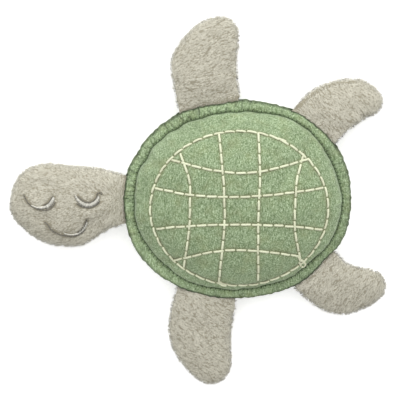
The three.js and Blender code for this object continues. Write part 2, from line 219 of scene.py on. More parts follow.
# Shell felts
# Two ovals of craft felt, cut, laid face to face and sewn together with the cut edges left outside,
# then stuffed. The stuffing domes them, the seam pulls a narrow valley all the way round, and the
# raw edges stand out beyond it as a wavy frill, wider here and narrower there as it was sewn.
FELT = 1.2 * MM
FELT_GAP = 0.15 * MM
RIM_LENGTH = 42.75 * MM
RIM_WIDTH = 37.1 * MM
SEAM_ALLOWANCE = 3.4 * MM
SEAM_WOBBLE = 0.17 * MM
VALLEY_DEPTH = 0.6 * MM
VALLEY_WIDTH = 0.3 * MM
CROWN_LEAN = 1.2 * MM        # how far the stuffing leans to the turtle's left
SAG = 1.6 * MM               # how far the dome's cage is below the crown before it is blown up
FULLNESS = 2.3
ROUNDNESS = 1.5
BULGE = 0.35 * MM            # how far the dome swells out low down
BULGE_AT = 0.25              # at this share of its height
BULGE_BAND = 0.17
PUCKER = 0.2 * MM            # small dents beside the seam
PUCKER_AT = 0.955
PUCKER_BAND = 0.035
# The frill: how far it is rolled up, drops at its cut edge, folds, waves, frays and rises over a
# limb's root, and how far the lower felt stands out beyond the upper one.
ROLL = 0.4 * MM
EDGE_DROP = 0.5 * MM
FOLDS = 0.3 * MM
WAVES = 0.22 * MM
RAGGED = 0.17 * MM
OVER_ROOT = 0.95 * MM
LOWER_SHOWS = 0.3 * MM
GATHERED_AT = math.radians(135)  # where round the rim the seam draws the felt in most
DRAWN_SEAM = 0.42 * MM           # how far it pulls the seam there, and the cut edge
DRAWN_EDGE = 0.24 * MM
# The felts' mesh, in a plan whose radius is 1 at the seam.
OUTER = 1.09
AROUND = 112
CENTRE_RADIUS = 0.18
DOME_RINGS = 15
FRILL_RINGS = 4
# Lumps of stuffing that show through the upper felt (1) and the lower one (-1): their size, height
# and seed, and how far in from the seam they reach full height.
FELT_LUMPS = {
    1: [(13 * MM, 0.45 * MM, 1, 0.2), (4 * MM, 0.12 * MM, 2, 0.1)],
    -1: [(13 * MM, 0.4 * MM, 3, 0.2)],
}
# Round the rim, by angle from the tail towards the turtle's right: how far the cut edge stands
# outside a true oval, and how far inside that oval the seam runs.
RIM = [
    (0, 0.0, 3.3), (15, 0.4, 4.2), (30, 0.8, 3.9), (46, 0.7, 2.7), (60, 0.8, 2.5), (76, -0.3, 4.0),
    (91, 0.0, 4.5), (100, -1.5, 4.7), (109, -0.1, 4.6), (124, -0.3, 4.7), (137, -0.5, 4.2),
    (151, -0.8, 4.7), (166, -0.4, 4.3), (182, -0.5, 4.8), (196, 0.1, 3.7), (210, 1.2, 3.8),
    (226, 1.6, 3.4), (241, 1.4, 2.4), (255, 1.0, 2.8), (270, 0.8, 2.7), (285, 0.9, 3.1),
    (302, 1.3, 2.8), (315, 0.4, 3.8), (323, -0.5, 3.4), (331, 1.2, 2.9), (345, 0.7, 3.2),
]
LIMBS = ["head", "front_right_flipper", "front_left_flipper", "rear_right_flipper", "rear_left_flipper"]

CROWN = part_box("upper_shell_felt")[1].z - SEAM_Z
BELLY_FLAT = SEAM_Z
BELLY = SEAM_Z + 0.5 * MM
joint_of = {joint["child"]: joint for joint in frame["joints"]}
# How felt and plush give under the stuffing's pressure. Their held points don't move.
CLOTH = {
    "quality": 6, "mass": 0.2, "tension_stiffness": 12, "compression_stiffness": 12,
    "shear_stiffness": 6, "bending_stiffness": 1.2, "use_pressure": True, "vertex_group_mass": "held",
}


def deselect():
    if bpy.context.object and bpy.context.object.mode != "OBJECT":
        bpy.ops.object.mode_set(mode="OBJECT")
    bpy.ops.object.select_all(action="DESELECT")


def take(obj):
    """Makes obj the one that operators work on."""
    deselect()
    obj.select_set(True)
    bpy.context.view_layer.objects.active = obj


def edit(obj, step):
    """Runs a mesh operator on the whole of a piece."""
    take(obj)
    bpy.ops.object.mode_set(mode="EDIT")
    bpy.ops.mesh.select_all(action="SELECT")
    step()
    bpy.ops.object.mode_set(mode="OBJECT")


def modify(obj, kind, **settings):
    """Gives a piece a modifier and applies it."""
    take(obj)
    made = obj.modifiers.new("made", kind)
    for name, value in settings.items():
        setattr(made, name, value)
    bpy.ops.object.modifier_apply(modifier=made.name)


def rows_of(items, attribute):
    """Three numbers of each item as the rows of an array."""
    flat = np.empty(len(items) * 3, np.float32)
    items.foreach_get(attribute, flat)
    return flat.reshape(-1, 3).astype(float)


def points_of(mesh):
    return rows_of(mesh.vertices, "co")


def normals_of(mesh):
    return rows_of(mesh.vertex_normals, "vector")


def kept_vector(obj, name):
    return rows_of(obj.data.attributes[name].data, "vector")


def keep_vector(obj, name, values):
    """Keeps three numbers for each point, for a material to read."""
    kept = obj.data.attributes
    layer = kept.get(name) or kept.new(name, "FLOAT_VECTOR", "POINT")
    layer.data.foreach_set("vector", np.asarray(values, np.float32).ravel())


def put_points(mesh, points):
    mesh.vertices.foreach_set("co", np.asarray(points, np.float32).ravel())
    mesh.update()


def unit(rows):
    """Each row at length 1."""
    return rows / np.linalg.norm(rows, axis=1, keepdims=True)


def resample(at, steps, rows):
    """Rows of three numbers, known at steps, as they are at other places."""
    return np.stack([np.interp(at, steps, rows[:, k]) for k in range(3)], 1)


def distances(line):
    """How far along a line each of its points lies."""
    return np.concatenate([[0], np.cumsum(np.linalg.norm(np.diff(line, axis=0), axis=1))])


def polar(plan):
    """Plan radius and angle."""
    return np.hypot(plan[:, 0], plan[:, 1]), np.arctan2(plan[:, 1], plan[:, 0])


def smoothstep(value, low, high):
    t = np.clip((value - low) / (high - low), 0, 1)
    return t * t * (3 - 2 * t)


def wander(angle, amount, waves, seed):
    """A smooth closed wobble round the rim, of some numbers of waves."""
    dice = random.Random(seed)
    total = np.zeros_like(angle)
    for count in waves:
        total = total + dice.uniform(0.5, 1) * np.sin(count * angle + dice.uniform(0, 2 * math.pi))
    return amount * total / math.sqrt(len(waves))


def round_rim(column, angle):
    """Joins one of the rim's sizes, given at some angles, by a smooth closed curve."""
    places = np.arange(360)
    sharp = np.interp(places, [stop[0] for stop in RIM], [stop[column] for stop in RIM], period=360)
    blur = np.hanning(13)
    smooth = sum(np.roll(sharp, k - 6) * share for k, share in enumerate(blur)) / blur.sum()
    return np.interp(np.degrees(angle) % 360, places, smooth, period=360) * MM


def lumps(points, size, amount, seed):
    """Soft lumps about size across, as one height for each point."""
    shift = Vector((seed * 13.7, seed * 7.1, seed * 3.3))
    return amount * np.array([noise.noise(Vector(p) / size + shift) for p in points])


def sewn_in(angle):
    """1 where a limb's root is sewn in between the felts and 0 where felt lies on felt."""
    x, y = RIM_LENGTH * np.cos(angle), RIM_WIDTH * np.sin(angle)
    most = np.zeros_like(angle)
    for limb in LIMBS:
        pos = joint_of[limb]["pos_m"]
        axis = np.abs(np.array(joint_of[limb]["axis"]))
        low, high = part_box(limb + "_root_tab")
        half = 0.42 * (axis[0] * (high.x - low.x) + axis[1] * (high.y - low.y))
        away = np.hypot(x - pos[0], y - pos[1])
        most = np.maximum(most, 1 - smoothstep(away, half, half + 3.5 * MM))
    return most


def in_order(mesh):
    """Sorts a mesh's points and faces by place. Operators leave them in another order each run."""
    points = points_of(mesh)
    order = np.lexsort(np.round(points, 5).T)
    rank = np.argsort(order)
    faces = []
    for face in mesh.polygons:
        corners = [int(rank[v]) for v in face.vertices]
        first = corners.index(min(corners))
        faces.append(corners[first:] + corners[:first])
    mesh.clear_geometry()
    mesh.from_pydata(points[order].tolist(), [], sorted(faces))


def felt_disc(name):
    """A disc of rings round a gridded middle, out to the plan radius OUTER."""
    deselect()
    bpy.ops.mesh.primitive_circle_add(vertices=AROUND, radius=CENTRE_RADIUS, fill_type="NOTHING")
    disc = bpy.context.object
    disc.name = name
    levels = [1 - (1 - CENTRE_RADIUS) * (1 - k / DOME_RINGS) ** 1.4 for k in range(1, DOME_RINGS + 1)]
    levels += list(np.linspace(1, OUTER, FRILL_RINGS + 1)[1:])
    bpy.ops.object.mode_set(mode="EDIT")
    bpy.ops.mesh.select_mode(type="EDGE")
    bpy.ops.mesh.select_all(action="SELECT")
    bpy.ops.mesh.fill_grid(span=AROUND // 4)
    bpy.ops.mesh.select_all(action="DESELECT")
    bpy.ops.mesh.select_non_manifold()
    now = CENTRE_RADIUS
    for level in levels:
        bpy.ops.mesh.extrude_region_move()
        grow = level / now
        bpy.ops.transform.resize(value=(grow, grow, 1), center_override=(0, 0, 0))
        now = level
    bpy.ops.mesh.select_all(action="SELECT")
    bpy.ops.mesh.normals_make_consistent(inside=False)
    bpy.ops.object.mode_set(mode="OBJECT")
    in_order(disc.data)
    keep_vector(disc, "plan", points_of(disc.data))
    return disc


def rim_place(rho, angle, height):
    """Where a point of a felt lies in plan. height is its share of the dome's height."""
    inside = np.minimum(rho, 1)
    out = np.clip((rho - 1) / (OUTER - 1), 0, 1)
    seam = -round_rim(2, angle) + wander(angle, SEAM_WOBBLE, [23, 31, 38, 57, 73], 7)
    edge = round_rim(1, angle)
    drawn = smoothstep(np.cos(angle - GATHERED_AT), 0.3, 0.95)
    seam += wander(angle, DRAWN_SEAM, [17, 24, 29], 11) * drawn
    edge += wander(angle, DRAWN_EDGE, [17, 24, 29], 11) * drawn
    bulge = BULGE * np.exp(-((height - BULGE_AT) / BULGE_BAND) ** 2) * (rho < 1)
    settled = (seam + SEAM_ALLOWANCE) * inside ** 5
    past = (edge - seam) * out
    x = ((RIM_LENGTH - SEAM_ALLOWANCE) * inside + settled + past + bulge) * np.cos(angle)
    y = ((RIM_WIDTH - SEAM_ALLOWANCE) * inside + settled + past + bulge) * np.sin(angle)
    return x, y


def dome_share(rho):
    """The dome's height as a share of the crown's."""
    return np.clip(1 - np.minimum(rho, 1) ** FULLNESS, 0, 1) ** (1 / ROUNDNESS)


def inflate(obj, held, pressure, slack, cap, frames=20):
    """Blows a soft piece up as cloth with its held points fixed, and keeps each point within cap."""
    group = obj.vertex_groups.new(name="held")
    group.add([int(i) for i in np.nonzero(held)[0]], 1.0, "REPLACE")
    before = points_of(obj.data)
    cloth = obj.modifiers.new("cloth", "CLOTH")
    for name, value in CLOTH.items():
        setattr(cloth.settings, name, value)
    cloth.settings.uniform_pressure_force = pressure
    cloth.settings.shrink_min = -slack
    cloth.settings.effector_weights.gravity = 0
    scene = bpy.context.scene
    scene.frame_start = 1
    scene.frame_end = frames
    cloth.point_cache.frame_start = 1
    cloth.point_cache.frame_end = frames
    for number in range(1, frames + 1):
        scene.frame_set(number)
    take(obj)
    bpy.ops.object.modifier_apply(modifier="cloth")
    scene.frame_set(1)
    obj.vertex_groups.clear()
    moved = points_of(obj.data) - before
    length = np.linalg.norm(moved, axis=1, keepdims=True)
    put_points(obj.data, before + moved * np.minimum(1, cap / np.maximum(length, 1e-9)))


def surface_of(obj):
    """A search tree of a piece's faces."""
    return BVHTree.FromPolygons(
        [v.co for v in obj.data.vertices], [p.vertices for p in obj.data.polygons],
    )


def smooth_route(points, step=0.4):
    """A smooth curve through points of the picture, as close points."""
    spots = [Vector(p) for p in points]
    spots = [2 * spots[0] - spots[1]] + spots + [2 * spots[-1] - spots[-2]]
    curve = []
    for a, b, c, d in zip(spots, spots[1:], spots[2:], spots[3:]):
        count = max(2, int((c - b).length / step))
        for k in range(count):
            t = k / count
            bend = 2 * a - 5 * b + 4 * c - d
            turn = 3 * b - a - 3 * c + d
            curve.append(0.5 * (2 * b + (c - a) * t + bend * t ** 2 + turn * t ** 3))
    curve.append(spots[-2])
    return curve


def project(tree, route):
    """Where a route of the picture lies on a surface: its points and the surface's normals there."""
    places, normals = [], []
    for right, up in route:
        origin, direction = sight(right, up)
        place, normal, _, _ = tree.ray_cast(origin, direction)
        if place is not None:
            places.append(place)
            normals.append(normal if normal.dot(direction) < 0 else -normal)
    return np.array(places), np.array(normals)


# The embroidered lines, in mm right of and above the shell's middle as the camera sees them: an
# oval, four lines across and four along.
OVAL_CENTRE = (1.0, -3.65)
OVAL_HALF = (33.3, 28.85)
OVAL = [
    (OVAL_CENTRE[0] + OVAL_HALF[0] * math.cos(a), OVAL_CENTRE[1] + OVAL_HALF[1] * math.sin(a))
    for a in np.linspace(0, 2 * math.pi, 73)
]
ROUTES = {
    "oval": OVAL,
    "across_1": [(-21.2, 17.1), (-17.8, 7.3), (-17.4, -2.1), (-17.8, -11.8), (-19.7, -26.1)],
    "across_2": [(-6.6, 24.6), (-5.1, 9.4), (-4.5, -2.1), (-4.7, -11.8), (-6.6, -31.7)],
    "across_3": [(8.1, 24.9), (8.8, 9.4), (8.4, -2.1), (8.1, -11.8), (8.1, -30.9)],
    "across_4": [(25.3, 17.1), (22.7, 7.3), (21.9, -2.1), (21.9, -11.8), (23.8, -23.1)],
    "along_1": [(-24.6, 14.4), (-7.3, 10.3), (8.4, 9.9), (27.2, 14.8)],
    "along_2": [(-30.9, 3.9), (-17.1, 1.3), (-4.5, 0.6), (8.4, 0.9), (22.3, 2.4), (32.8, 4.1)],
    "along_3": [(-30.2, -11.4), (-17.8, -10.3), (-4.5, -9.8), (8.4, -9.9), (21.2, -10.5), (32.4, -11.8)],
    "along_4": [(-23.6, -23.1), (-6.6, -19.7), (8.4, -19.7), (23.8, -21.6)],
}
GROOVE_DEPTH = 0.3 * MM
GROOVE_WIDTH = 0.8 * MM


def nearest_distance(points, lines):
    """How far each point is from the nearest point of some close-set lines."""
    best = np.full(len(points), 1.0)
    spots = np.concatenate(lines)
    for start in range(0, len(points), 4000):
        block = points[start:start + 4000, None, :] - spots[None, :, :]
        best[start:start + 4000] = np.sqrt((block ** 2).sum(2).min(1))
    return best


# Needle-punched craft felt: short wool and viscose fibres lying every way, so it looks flecked from
# near by, matt, with a soft bloom where it turns away. Painted shade darkens it in the seam's valley, in the
# needle holes, in the frill's creases and along the cut edge, and in brown along the embroidery; painted
# light makes parts of the frill and the dome's foot lighter.
FELT_MID = "#91a47f"
FELT_DARK = "#5c7048"
FELT_LIGHT = "#c6d8b4"
FELT_OLIVE = "#8d9062"
# The brown of the painted shade along the embroidery.
FELT_STITCH_SHADE = "#6f6243"
FELT_FLECK = 0.5             # mm across one fleck
FELT_FIBRE = 0.28            # mm across one visible clump of fibres
FIBRE_WAYS = (0.3, 1.5, 2.5)
RIM_STITCHES = 146
# The frill's short gathers are only painted, as lines of painted shade.
GATHER_SHADE_LINES = 96                 # short creases across the frill, where the seam draws it in


def felt_material(name):
    material, tree = new_material(name)
    place = add(tree, "ShaderNodeTexCoord").outputs["Object"]
    fibres = 0.0
    for turn in FIBRE_WAYS:
        turned = add(tree, "ShaderNodeMapping", {
            "Vector": place, "Rotation": (0.2, 0.3, turn), "Scale": (1, 0.16, 1),
        }).outputs[0]
        strand = flecks(tree, turned, FELT_FIBRE, Detail=1.0, Distortion=0.6)
        fibres = calc(tree, "MAXIMUM", fibres, strand)
    fuzz = calc(tree, "ADD", flecks(tree, place, FELT_FLECK, Detail=3.0, Roughness=0.65), fibres)
    ramp = colour_ramp(tree, ranged(tree, fuzz, (0.85, 1.35)), FELT_DARK, FELT_LIGHT)
    ramp.color_ramp.elements.new(0.5).color = rgba(FELT_MID)
    drift = ranged(tree, flecks(tree, place, 9, Detail=2.0), (0.3, 0.7), (0.93, 1.06))
    patchy = ranged(tree, flecks(tree, place, 2.2, Detail=2.0), (0.3, 0.7), (0.93, 1.07))
    olive = ranged(tree, flecks(tree, place, 5, Detail=2.0), (0.48, 0.75), (0.0, 0.3))
    dyed = mixed_colour(tree, olive, ramp.outputs["Color"], rgba(FELT_OLIVE))

    plan = add(tree, "ShaderNodeAttribute", attribute_name="plan").outputs["Vector"]
    parts = add(tree, "ShaderNodeSeparateXYZ", {0: plan}).outputs
    flat = add(tree, "ShaderNodeVectorMath", {0: plan, 1: (1, 1, 0)}, operation="MULTIPLY").outputs[0]
    rho = add(tree, "ShaderNodeVectorMath", {0: flat}, operation="LENGTH").outputs["Value"]
    turn = calc(tree, "ARCTAN2", parts["Y"], parts["X"])
    on_dome = calc(tree, "LESS_THAN", rho, 1.0)
    on_frill = ranged(tree, rho, (1.0, 1.03))
    off_seam = calc(tree, "SUBTRACT", rho, 1.0)
    # Painted shade in the seam's valley: the felt is darker the nearer it lies to the seam.
    valley = ranged(tree, calc(tree, "ABSOLUTE", off_seam), (0.001, 0.0065), (0.42, 1.0), "SMOOTHSTEP")
    # Painted shade along the frill's cut edge, deepest where a limb's root is sewn in under it.
    outermost = ranged(tree, rho, (OUTER - 0.022, OUTER - 0.004), kind="SMOOTHSTEP")
    root_shade_depth = ranged(tree, parts["Z"], (0.0, 1.0), (-0.45, -0.75))
    cut_edge_shade = calc(tree, "MULTIPLY_ADD", outermost, root_shade_depth, 1.0)

    # Painted shade in a row of needle holes beside the seam, one at each stitch.
    swing = calc(tree, "COSINE", calc(tree, "MULTIPLY", turn, float(RIM_STITCHES)))
    off_row = calc(tree, "ABSOLUTE", calc(tree, "SUBTRACT", off_seam, 0.012))
    in_row = ranged(tree, off_row, (0.005, 0.014), (1.0, 0.0))
    hole = calc(tree, "MULTIPLY", ranged(tree, swing, (0.5, 0.95)), in_row)
    hole_shade = ranged(tree, hole, (0.0, 1.0), (1.0, 0.35))

    # Painted shade in the frill's creases: along radial streaks and in short gathers, most beside the head,
    # where the seam draws the felt in.
    radial = add(tree, "ShaderNodeCombineXYZ", {
        "X": calc(tree, "MULTIPLY", turn, 20.0), "Y": calc(tree, "MULTIPLY", rho, 14.0),
    }).outputs[0]
    rays = add(tree, "ShaderNodeTexNoise", {
        "Vector": radial, "Scale": 1.1, "Detail": 2.0, "Distortion": 0.5,
    }).outputs["Fac"]
    slow = add(tree, "ShaderNodeTexNoise", {"Vector": radial, "Scale": 0.25, "Detail": 1.0}).outputs["Fac"]
    sway = calc(tree, "MULTIPLY_ADD", slow, 24.0, calc(tree, "MULTIPLY", turn, float(GATHER_SHADE_LINES)))
    gather = ranged(tree, calc(tree, "COSINE", sway), (0.5, 1.0), kind="SMOOTHSTEP")
    beside_head = calc(tree, "COSINE", calc(tree, "SUBTRACT", turn, GATHERED_AT))
    gathered = ranged(tree, beside_head, (0.2, 0.9), (0.0, 0.5))
    uneven = ranged(tree, rays, (0.4, 0.6), (0.85, 0.1))
    pinch = calc(tree, "MULTIPLY", calc(tree, "MULTIPLY", gather, uneven), gathered)
    gather_shade = calc(tree, "MULTIPLY_ADD", gathered, 0.2, pinch)
    ray_shade = ranged(tree, rays, (0.3, 0.55), (0.82, 1.18))
    crease_shaded = calc(tree, "MULTIPLY", ray_shade, calc(tree, "SUBTRACT", 1.0, gather_shade))
    frill_crease_shade = mixed(tree, on_frill, 1.0, crease_shaded)

    # Painted shade, brown, along the embroidered lines where the felt is grooved.
    stitch_shade = calc(tree, "MULTIPLY", calc(tree, "MULTIPLY", parts["Z"], on_dome), 0.5)
    stitch_shaded = mixed_colour(tree, stitch_shade, dyed, rgba(FELT_STITCH_SHADE))
    # Painted light: the frill lighter towards the head and the turtle's right and darker towards the tail
    # and its left, and the dome lighter at its foot, by the seam.
    towards = add(tree, "ShaderNodeVectorMath", {0: flat, 1: (-0.12, 0.05, 0)}, operation="DOT_PRODUCT")
    frill_painted_light = calc(tree, "ADD", towards.outputs["Value"], 0.98)
    dome_foot_painted_light = ranged(tree, rho, (0.9, 0.97), (1.0, 1.06))
    side = mixed(tree, on_dome, frill_painted_light, dome_foot_painted_light)
    tone = drift
    for factor in (side, patchy, valley, cut_edge_shade, hole_shade, frill_crease_shade):
        tone = calc(tree, "MULTIPLY", tone, factor)
    height = calc(tree, "MULTIPLY_ADD", calc(tree, "MULTIPLY", rays, on_frill), 1.5, fuzz)
    end_material(tree, toned(tree, stitch_shaded, tone), 0.95, 0.2, 0.25, relief=(height, 0.8, 0.12 * MM))
    return material


felt = felt_material("needle_punched_felt")


def felt_cage(name, side, height, flat_at):
    """A felt as the stuffing domes it, without its thickness."""
    panel = felt_disc(name)
    rho, angle = polar(kept_vector(panel, "plan"))
    share = dome_share(rho)
    x, y = rim_place(rho, angle, share)
    low = SAG if flat_at is None else 0
    rise = FELT_GAP + FELT + (height - low - FELT_GAP - FELT) * share
    if flat_at is not None:
        rise = np.minimum(rise, flat_at)
    lean = CROWN_LEAN * share if side > 0 else 0
    put_points(panel.data, np.stack([x, y - lean, SEAM_Z + side * rise], 1))
    if side < 0:
        edit(panel, bpy.ops.mesh.flip_normals)
    inflate(panel, rho > 0.99, pressure=4, slack=0.02, cap=1.9 * MM)
    modify(panel, "SUBSURF", levels=2, render_levels=2)
    if side > 0:
        points = points_of(panel.data)
        rho, _ = polar(kept_vector(panel, "plan"))
        scale = (CROWN - FELT_GAP - FELT) / (points[:, 2].max() - SEAM_Z - FELT_GAP - FELT)
        above = points[:, 2] - SEAM_Z - FELT_GAP - FELT
        points[:, 2] += above * (scale - 1) * (1 - smoothstep(rho, 1.0, 1.02))
        put_points(panel.data, points)
    return panel


def make_felt(name, node, side, height, flat_at, seed):
    """One felt. side is 1 for the upper felt and -1 for the lower one, and flat_at is where it rests."""
    panel = felt_cage(name, side, height, flat_at)
    points, normals = points_of(panel.data), normals_of(panel.data)
    plan = kept_vector(panel, "plan")
    rho, angle = polar(plan)
    out = np.clip((rho - 1) / (OUTER - 1), 0, 1)
    frill = smoothstep(rho, 1.0, 1.02)
    dome = 1 - frill
    groove_and_stitch_shade = 0 * rho
    if side > 0:
        tree = surface_of(panel)
        lines = [project(tree, smooth_route(spots))[0] for spots in ROUTES.values()]
        groove_and_stitch_shade = np.exp(-(nearest_distance(points, lines) / GROOVE_WIDTH) ** 2) * dome
    push = -GROOVE_DEPTH * groove_and_stitch_shade
    for size, lump, number, full in FELT_LUMPS[side]:
        push += lumps(points, size, lump, number) * dome * smoothstep(1 - rho, 0.02, full)
    pucker = wander(angle, PUCKER, [41, 52, 66, 79], seed + 5)
    push += pucker * np.exp(-((rho - PUCKER_AT) / PUCKER_BAND) ** 2) * dome
    points = points + normals * push[:, None]

    sewn = sewn_in(angle)
    gathers = wander(angle, FOLDS, [61, 83, 97, 109], seed + 3)
    loose = smoothstep(np.cos(angle - GATHERED_AT) + wander(angle, 0.3, [3, 5], seed + 4), 0, 0.9)
    folds = gathers * (0.15 + loose) * np.sin(math.pi * np.clip(out * 1.1, 0, 1)) ** 0.5
    curl = 0.7 + 0.3 * np.sin(angle)
    roll = ROLL * np.sin(math.pi * np.clip(out * 1.25, 0, 1)) - EDGE_DROP * smoothstep(out, 0.6, 1)
    wave = wander(angle, WAVES, [9, 13, 19, 26], 77) * side * out
    valley = -VALLEY_DEPTH * np.exp(-(((rho - 1) * RIM_WIDTH) / VALLEY_WIDTH) ** 2)
    lifted = OVER_ROOT * sewn * smoothstep(rho, 0.9, 1.0)
    points[:, 2] += side * (valley + lifted + (roll * curl + folds + wave) * frill)
    ragged = wander(angle, RAGGED, [23, 47, 71, 93, 119], seed + 9) * smoothstep(out, 0.6, 1)
    ragged += LOWER_SHOWS * smoothstep(out, 0.5, 1) * (side < 0)
    points[:, 0] += ragged * np.cos(angle)
    points[:, 1] += ragged * np.sin(angle)
    if flat_at is not None:
        points[:, 2] = np.maximum(points[:, 2], SEAM_Z - flat_at)
    put_points(panel.data, points)
    at_seam = np.nonzero(np.abs(rho - 1) < 0.003)[0]
    at_seam = at_seam[np.argsort(angle[at_seam])]
    seam_line = np.column_stack([angle[at_seam], points[at_seam]])
    # The plan's third number: on the frill, how far a limb's root is sewn in, for the painted shade along
    # the cut edge; on the dome, the embroidery's groove, for the painted shade along the stitches.
    plan[:, 2] = np.where(rho > 1, sewn, groove_and_stitch_shade)
    keep_vector(panel, "plan", plan)

    edge = panel.vertex_groups.new(name="thick")
    for index, weight in enumerate(1 - 0.6 * smoothstep(out, 0.7, 1)):
        edge.add([index], float(weight), "REPLACE")
    modify(panel, "SOLIDIFY", thickness=FELT, offset=-1, vertex_group="thick")
    panel.vertex_groups.clear()
    bpy.ops.object.shade_smooth()
    panel.data.materials.append(felt)
    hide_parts(node)
    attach(panel, "shell")
    return panel, seam_line


upper_felt, upper_seam = make_felt("upper_felt", "upper_shell_felt", 1, CROWN, None, 11)
_, lower_seam = make_felt("lower_felt", "lower_shell_felt", -1, BELLY, BELLY_FLAT, 29)
upper_surface = surface_of(upper_felt)

# Rim seam
# One row of short lockstitches in dark green sewing thread, pulled down into the valley between
# dome and frill. The needle thread shows on the upper felt and the bobbin thread on the lower one.
SEAM_THREAD = 0.4 * MM
TWIST_PITCH = 1.5 * MM
STITCH_SIDES = 10
STITCH_RINGS = 14


def stitch_pattern():
    """One straight stitch of unit size, to be copied and bent along each stitch's own line."""
    deselect()
    bpy.ops.mesh.primitive_cylinder_add(vertices=STITCH_SIDES, radius=1, depth=1)
    pattern = bpy.context.object
    bpy.ops.object.mode_set(mode="EDIT")
    bpy.ops.mesh.select_mode(type="EDGE")
    bpy.ops.mesh.select_all(action="DESELECT")
    bpy.ops.object.mode_set(mode="OBJECT")
    for line in pattern.data.edges:
        a, b = (pattern.data.vertices[v].co for v in line.vertices)
        line.select = abs(a.z - b.z) > 0.5
    bpy.ops.object.mode_set(mode="EDIT")
    bpy.ops.mesh.subdivide(number_cuts=STITCH_RINGS)
    bpy.ops.object.mode_set(mode="OBJECT")
    points = points_of(pattern.data)
    faces = [list(face.vertices) for face in pattern.data.polygons]
    bpy.data.objects.remove(pattern)
    return points[:, 2] + 0.5, np.arctan2(points[:, 1], points[:, 0]), faces


stitch_along, stitch_round, stitch_faces = stitch_pattern()


def sew(name, stitches, half_width, half_height, plies=3, blunt=0.5):
    """Copies the pattern stitch along each stitch's points. A stitch is its points, normals and tone."""
    dice = random.Random(name)
    all_points, all_faces, all_tones = [], [], []
    u = stitch_along
    taper = (1 - (2 * np.abs(u - 0.5)) ** 8) ** blunt * 0.6 + 0.4
    for points, normals, tone in stitches:
        steps = np.linspace(0, 1, len(points))
        place = resample(u, steps, points)
        ahead = resample(u, steps, np.gradient(points, steps, axis=0))
        length = float(np.linalg.norm(np.diff(points, axis=0), axis=1).sum())
        side = unit(np.cross(ahead, resample(u, steps, normals)))
        up = unit(np.cross(side, ahead))
        twist = stitch_round - 2 * math.pi * length / TWIST_PITCH * u + dice.uniform(0, 6)
        fat = taper * (0.88 + 0.14 * np.cos(plies * twist))
        moved = place + side * (half_width * fat * np.cos(stitch_round))[:, None]
        moved += up * (half_height * fat * np.sin(stitch_round))[:, None]
        start = len(all_points) * len(u)
        all_faces += [[v + start for v in face] for face in stitch_faces]
        all_points.append(moved)
        # Painted light: the plies lighter and the hollows between them darker, the ends darker where the
        # thread dives in, and the underside in painted shade.
        ply_and_end_shade = 0.25 * np.cos(plies * twist) - 0.9 * smoothstep(np.abs(u - 0.5), 0.43, 0.5)
        underside_shade = -0.75 * (1 - smoothstep(np.sin(stitch_round), -0.1, 0.6))
        all_tones.append(np.interp(u, (0, 1), tone) + ply_and_end_shade + underside_shade)
    mesh = bpy.data.meshes.new(name)
    mesh.from_pydata(np.concatenate(all_points).tolist(), [], all_faces)
    sewn = put_in_scene(name, mesh)
    edit(sewn, bpy.ops.mesh.normals_make_consistent)
    bpy.ops.object.shade_smooth()
    layer = mesh.attributes.new("tone", "FLOAT", "POINT")
    layer.data.foreach_set("value", np.concatenate(all_tones).astype(np.float32))
    return sewn


def thread_material(name, dark, light, sheen, roughness=0.7):
    """Twisted thread in the tone that its stitches keep: a painted highlight on the plies, and painted shade
    in the hollows between them, at the ends and along the underside.
    """
    material, tree = new_material(name)
    place = add(tree, "ShaderNodeTexCoord").outputs["Object"]
    hairs = flecks(tree, place, 0.25, Detail=2.0)
    tone = add(tree, "ShaderNodeAttribute", attribute_name="tone").outputs["Fac"]
    shade = ranged(tree, calc(tree, "MULTIPLY_ADD", hairs, 0.9, tone), (-0.6, 0.75))
    colour = colour_ramp(tree, shade, dark, light).outputs["Color"]
    end_material(tree, colour, roughness, 0.35, sheen, 0.4, relief=(hairs, 0.5, 0.06 * MM))
    return material


seam_thread = thread_material("spun_polyester_sewing_thread", "#2f3f26", "#5a6f4b", 0.1)
# The seam's last thread end lies across the frill at the neck.
THREAD_END = [(-43.3, 0.1), (-42.3, 0.2), (-41.4, 0.1), (-40.4, -0.2)]
BENDS = 7                    # points along a stitch


def rim_stitches(name, node, side, seam_line):
    """One felt's row of stitches, along the line that the seam pulls into it."""
    stitches = []
    steps = np.linspace(0, 1, BENDS)
    flat = np.tile([0.0, 0.0, float(side)], (BENDS, 1))
    for k in range(RIM_STITCHES):
        turn = (k + np.linspace(0.1, 0.9, BENDS)) * 2 * math.pi / RIM_STITCHES
        angle, line = seam_line[:, 0], seam_line[:, 1:]
        places = np.stack([np.interp(turn, angle, line[:, j], period=2 * math.pi) for j in range(3)], 1)
        places[:, 2] += side * SEAM_THREAD * (0.45 * np.sin(math.pi * steps) - 0.2)
        stitches.append((places, flat, (0.0, 0.0)))
    if side > 0:
        places, normals = project(upper_surface, smooth_route(THREAD_END, 0.3))
        stitches.append((places + normals * SEAM_THREAD * 0.5, normals, (-0.4, -0.4)))
    sewn = sew(name, stitches, SEAM_THREAD / 2, SEAM_THREAD / 2, plies=2)
    sewn.data.materials.append(seam_thread)
    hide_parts(node)
    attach(sewn, "shell")


rim_stitches("upper_rim_stitches", "upper_seam_thread", 1, upper_seam)
rim_stitches("lower_rim_stitches", "lower_seam_thread", -1, lower_seam)

# Shell embroidery
# Backstitch in cream stranded cotton, worked by hand through the upper felt before it was stuffed.
# Each stitch starts and ends in a needle hole and pulls the felt down a little along its line.
THREAD_WIDTH = 1.0 * MM
THREAD_HEIGHT = 0.7 * MM
STITCH_LENGTH = 3.85 * MM
STITCH_GAP = 0.3 * MM
ARCH_POINTS = 9


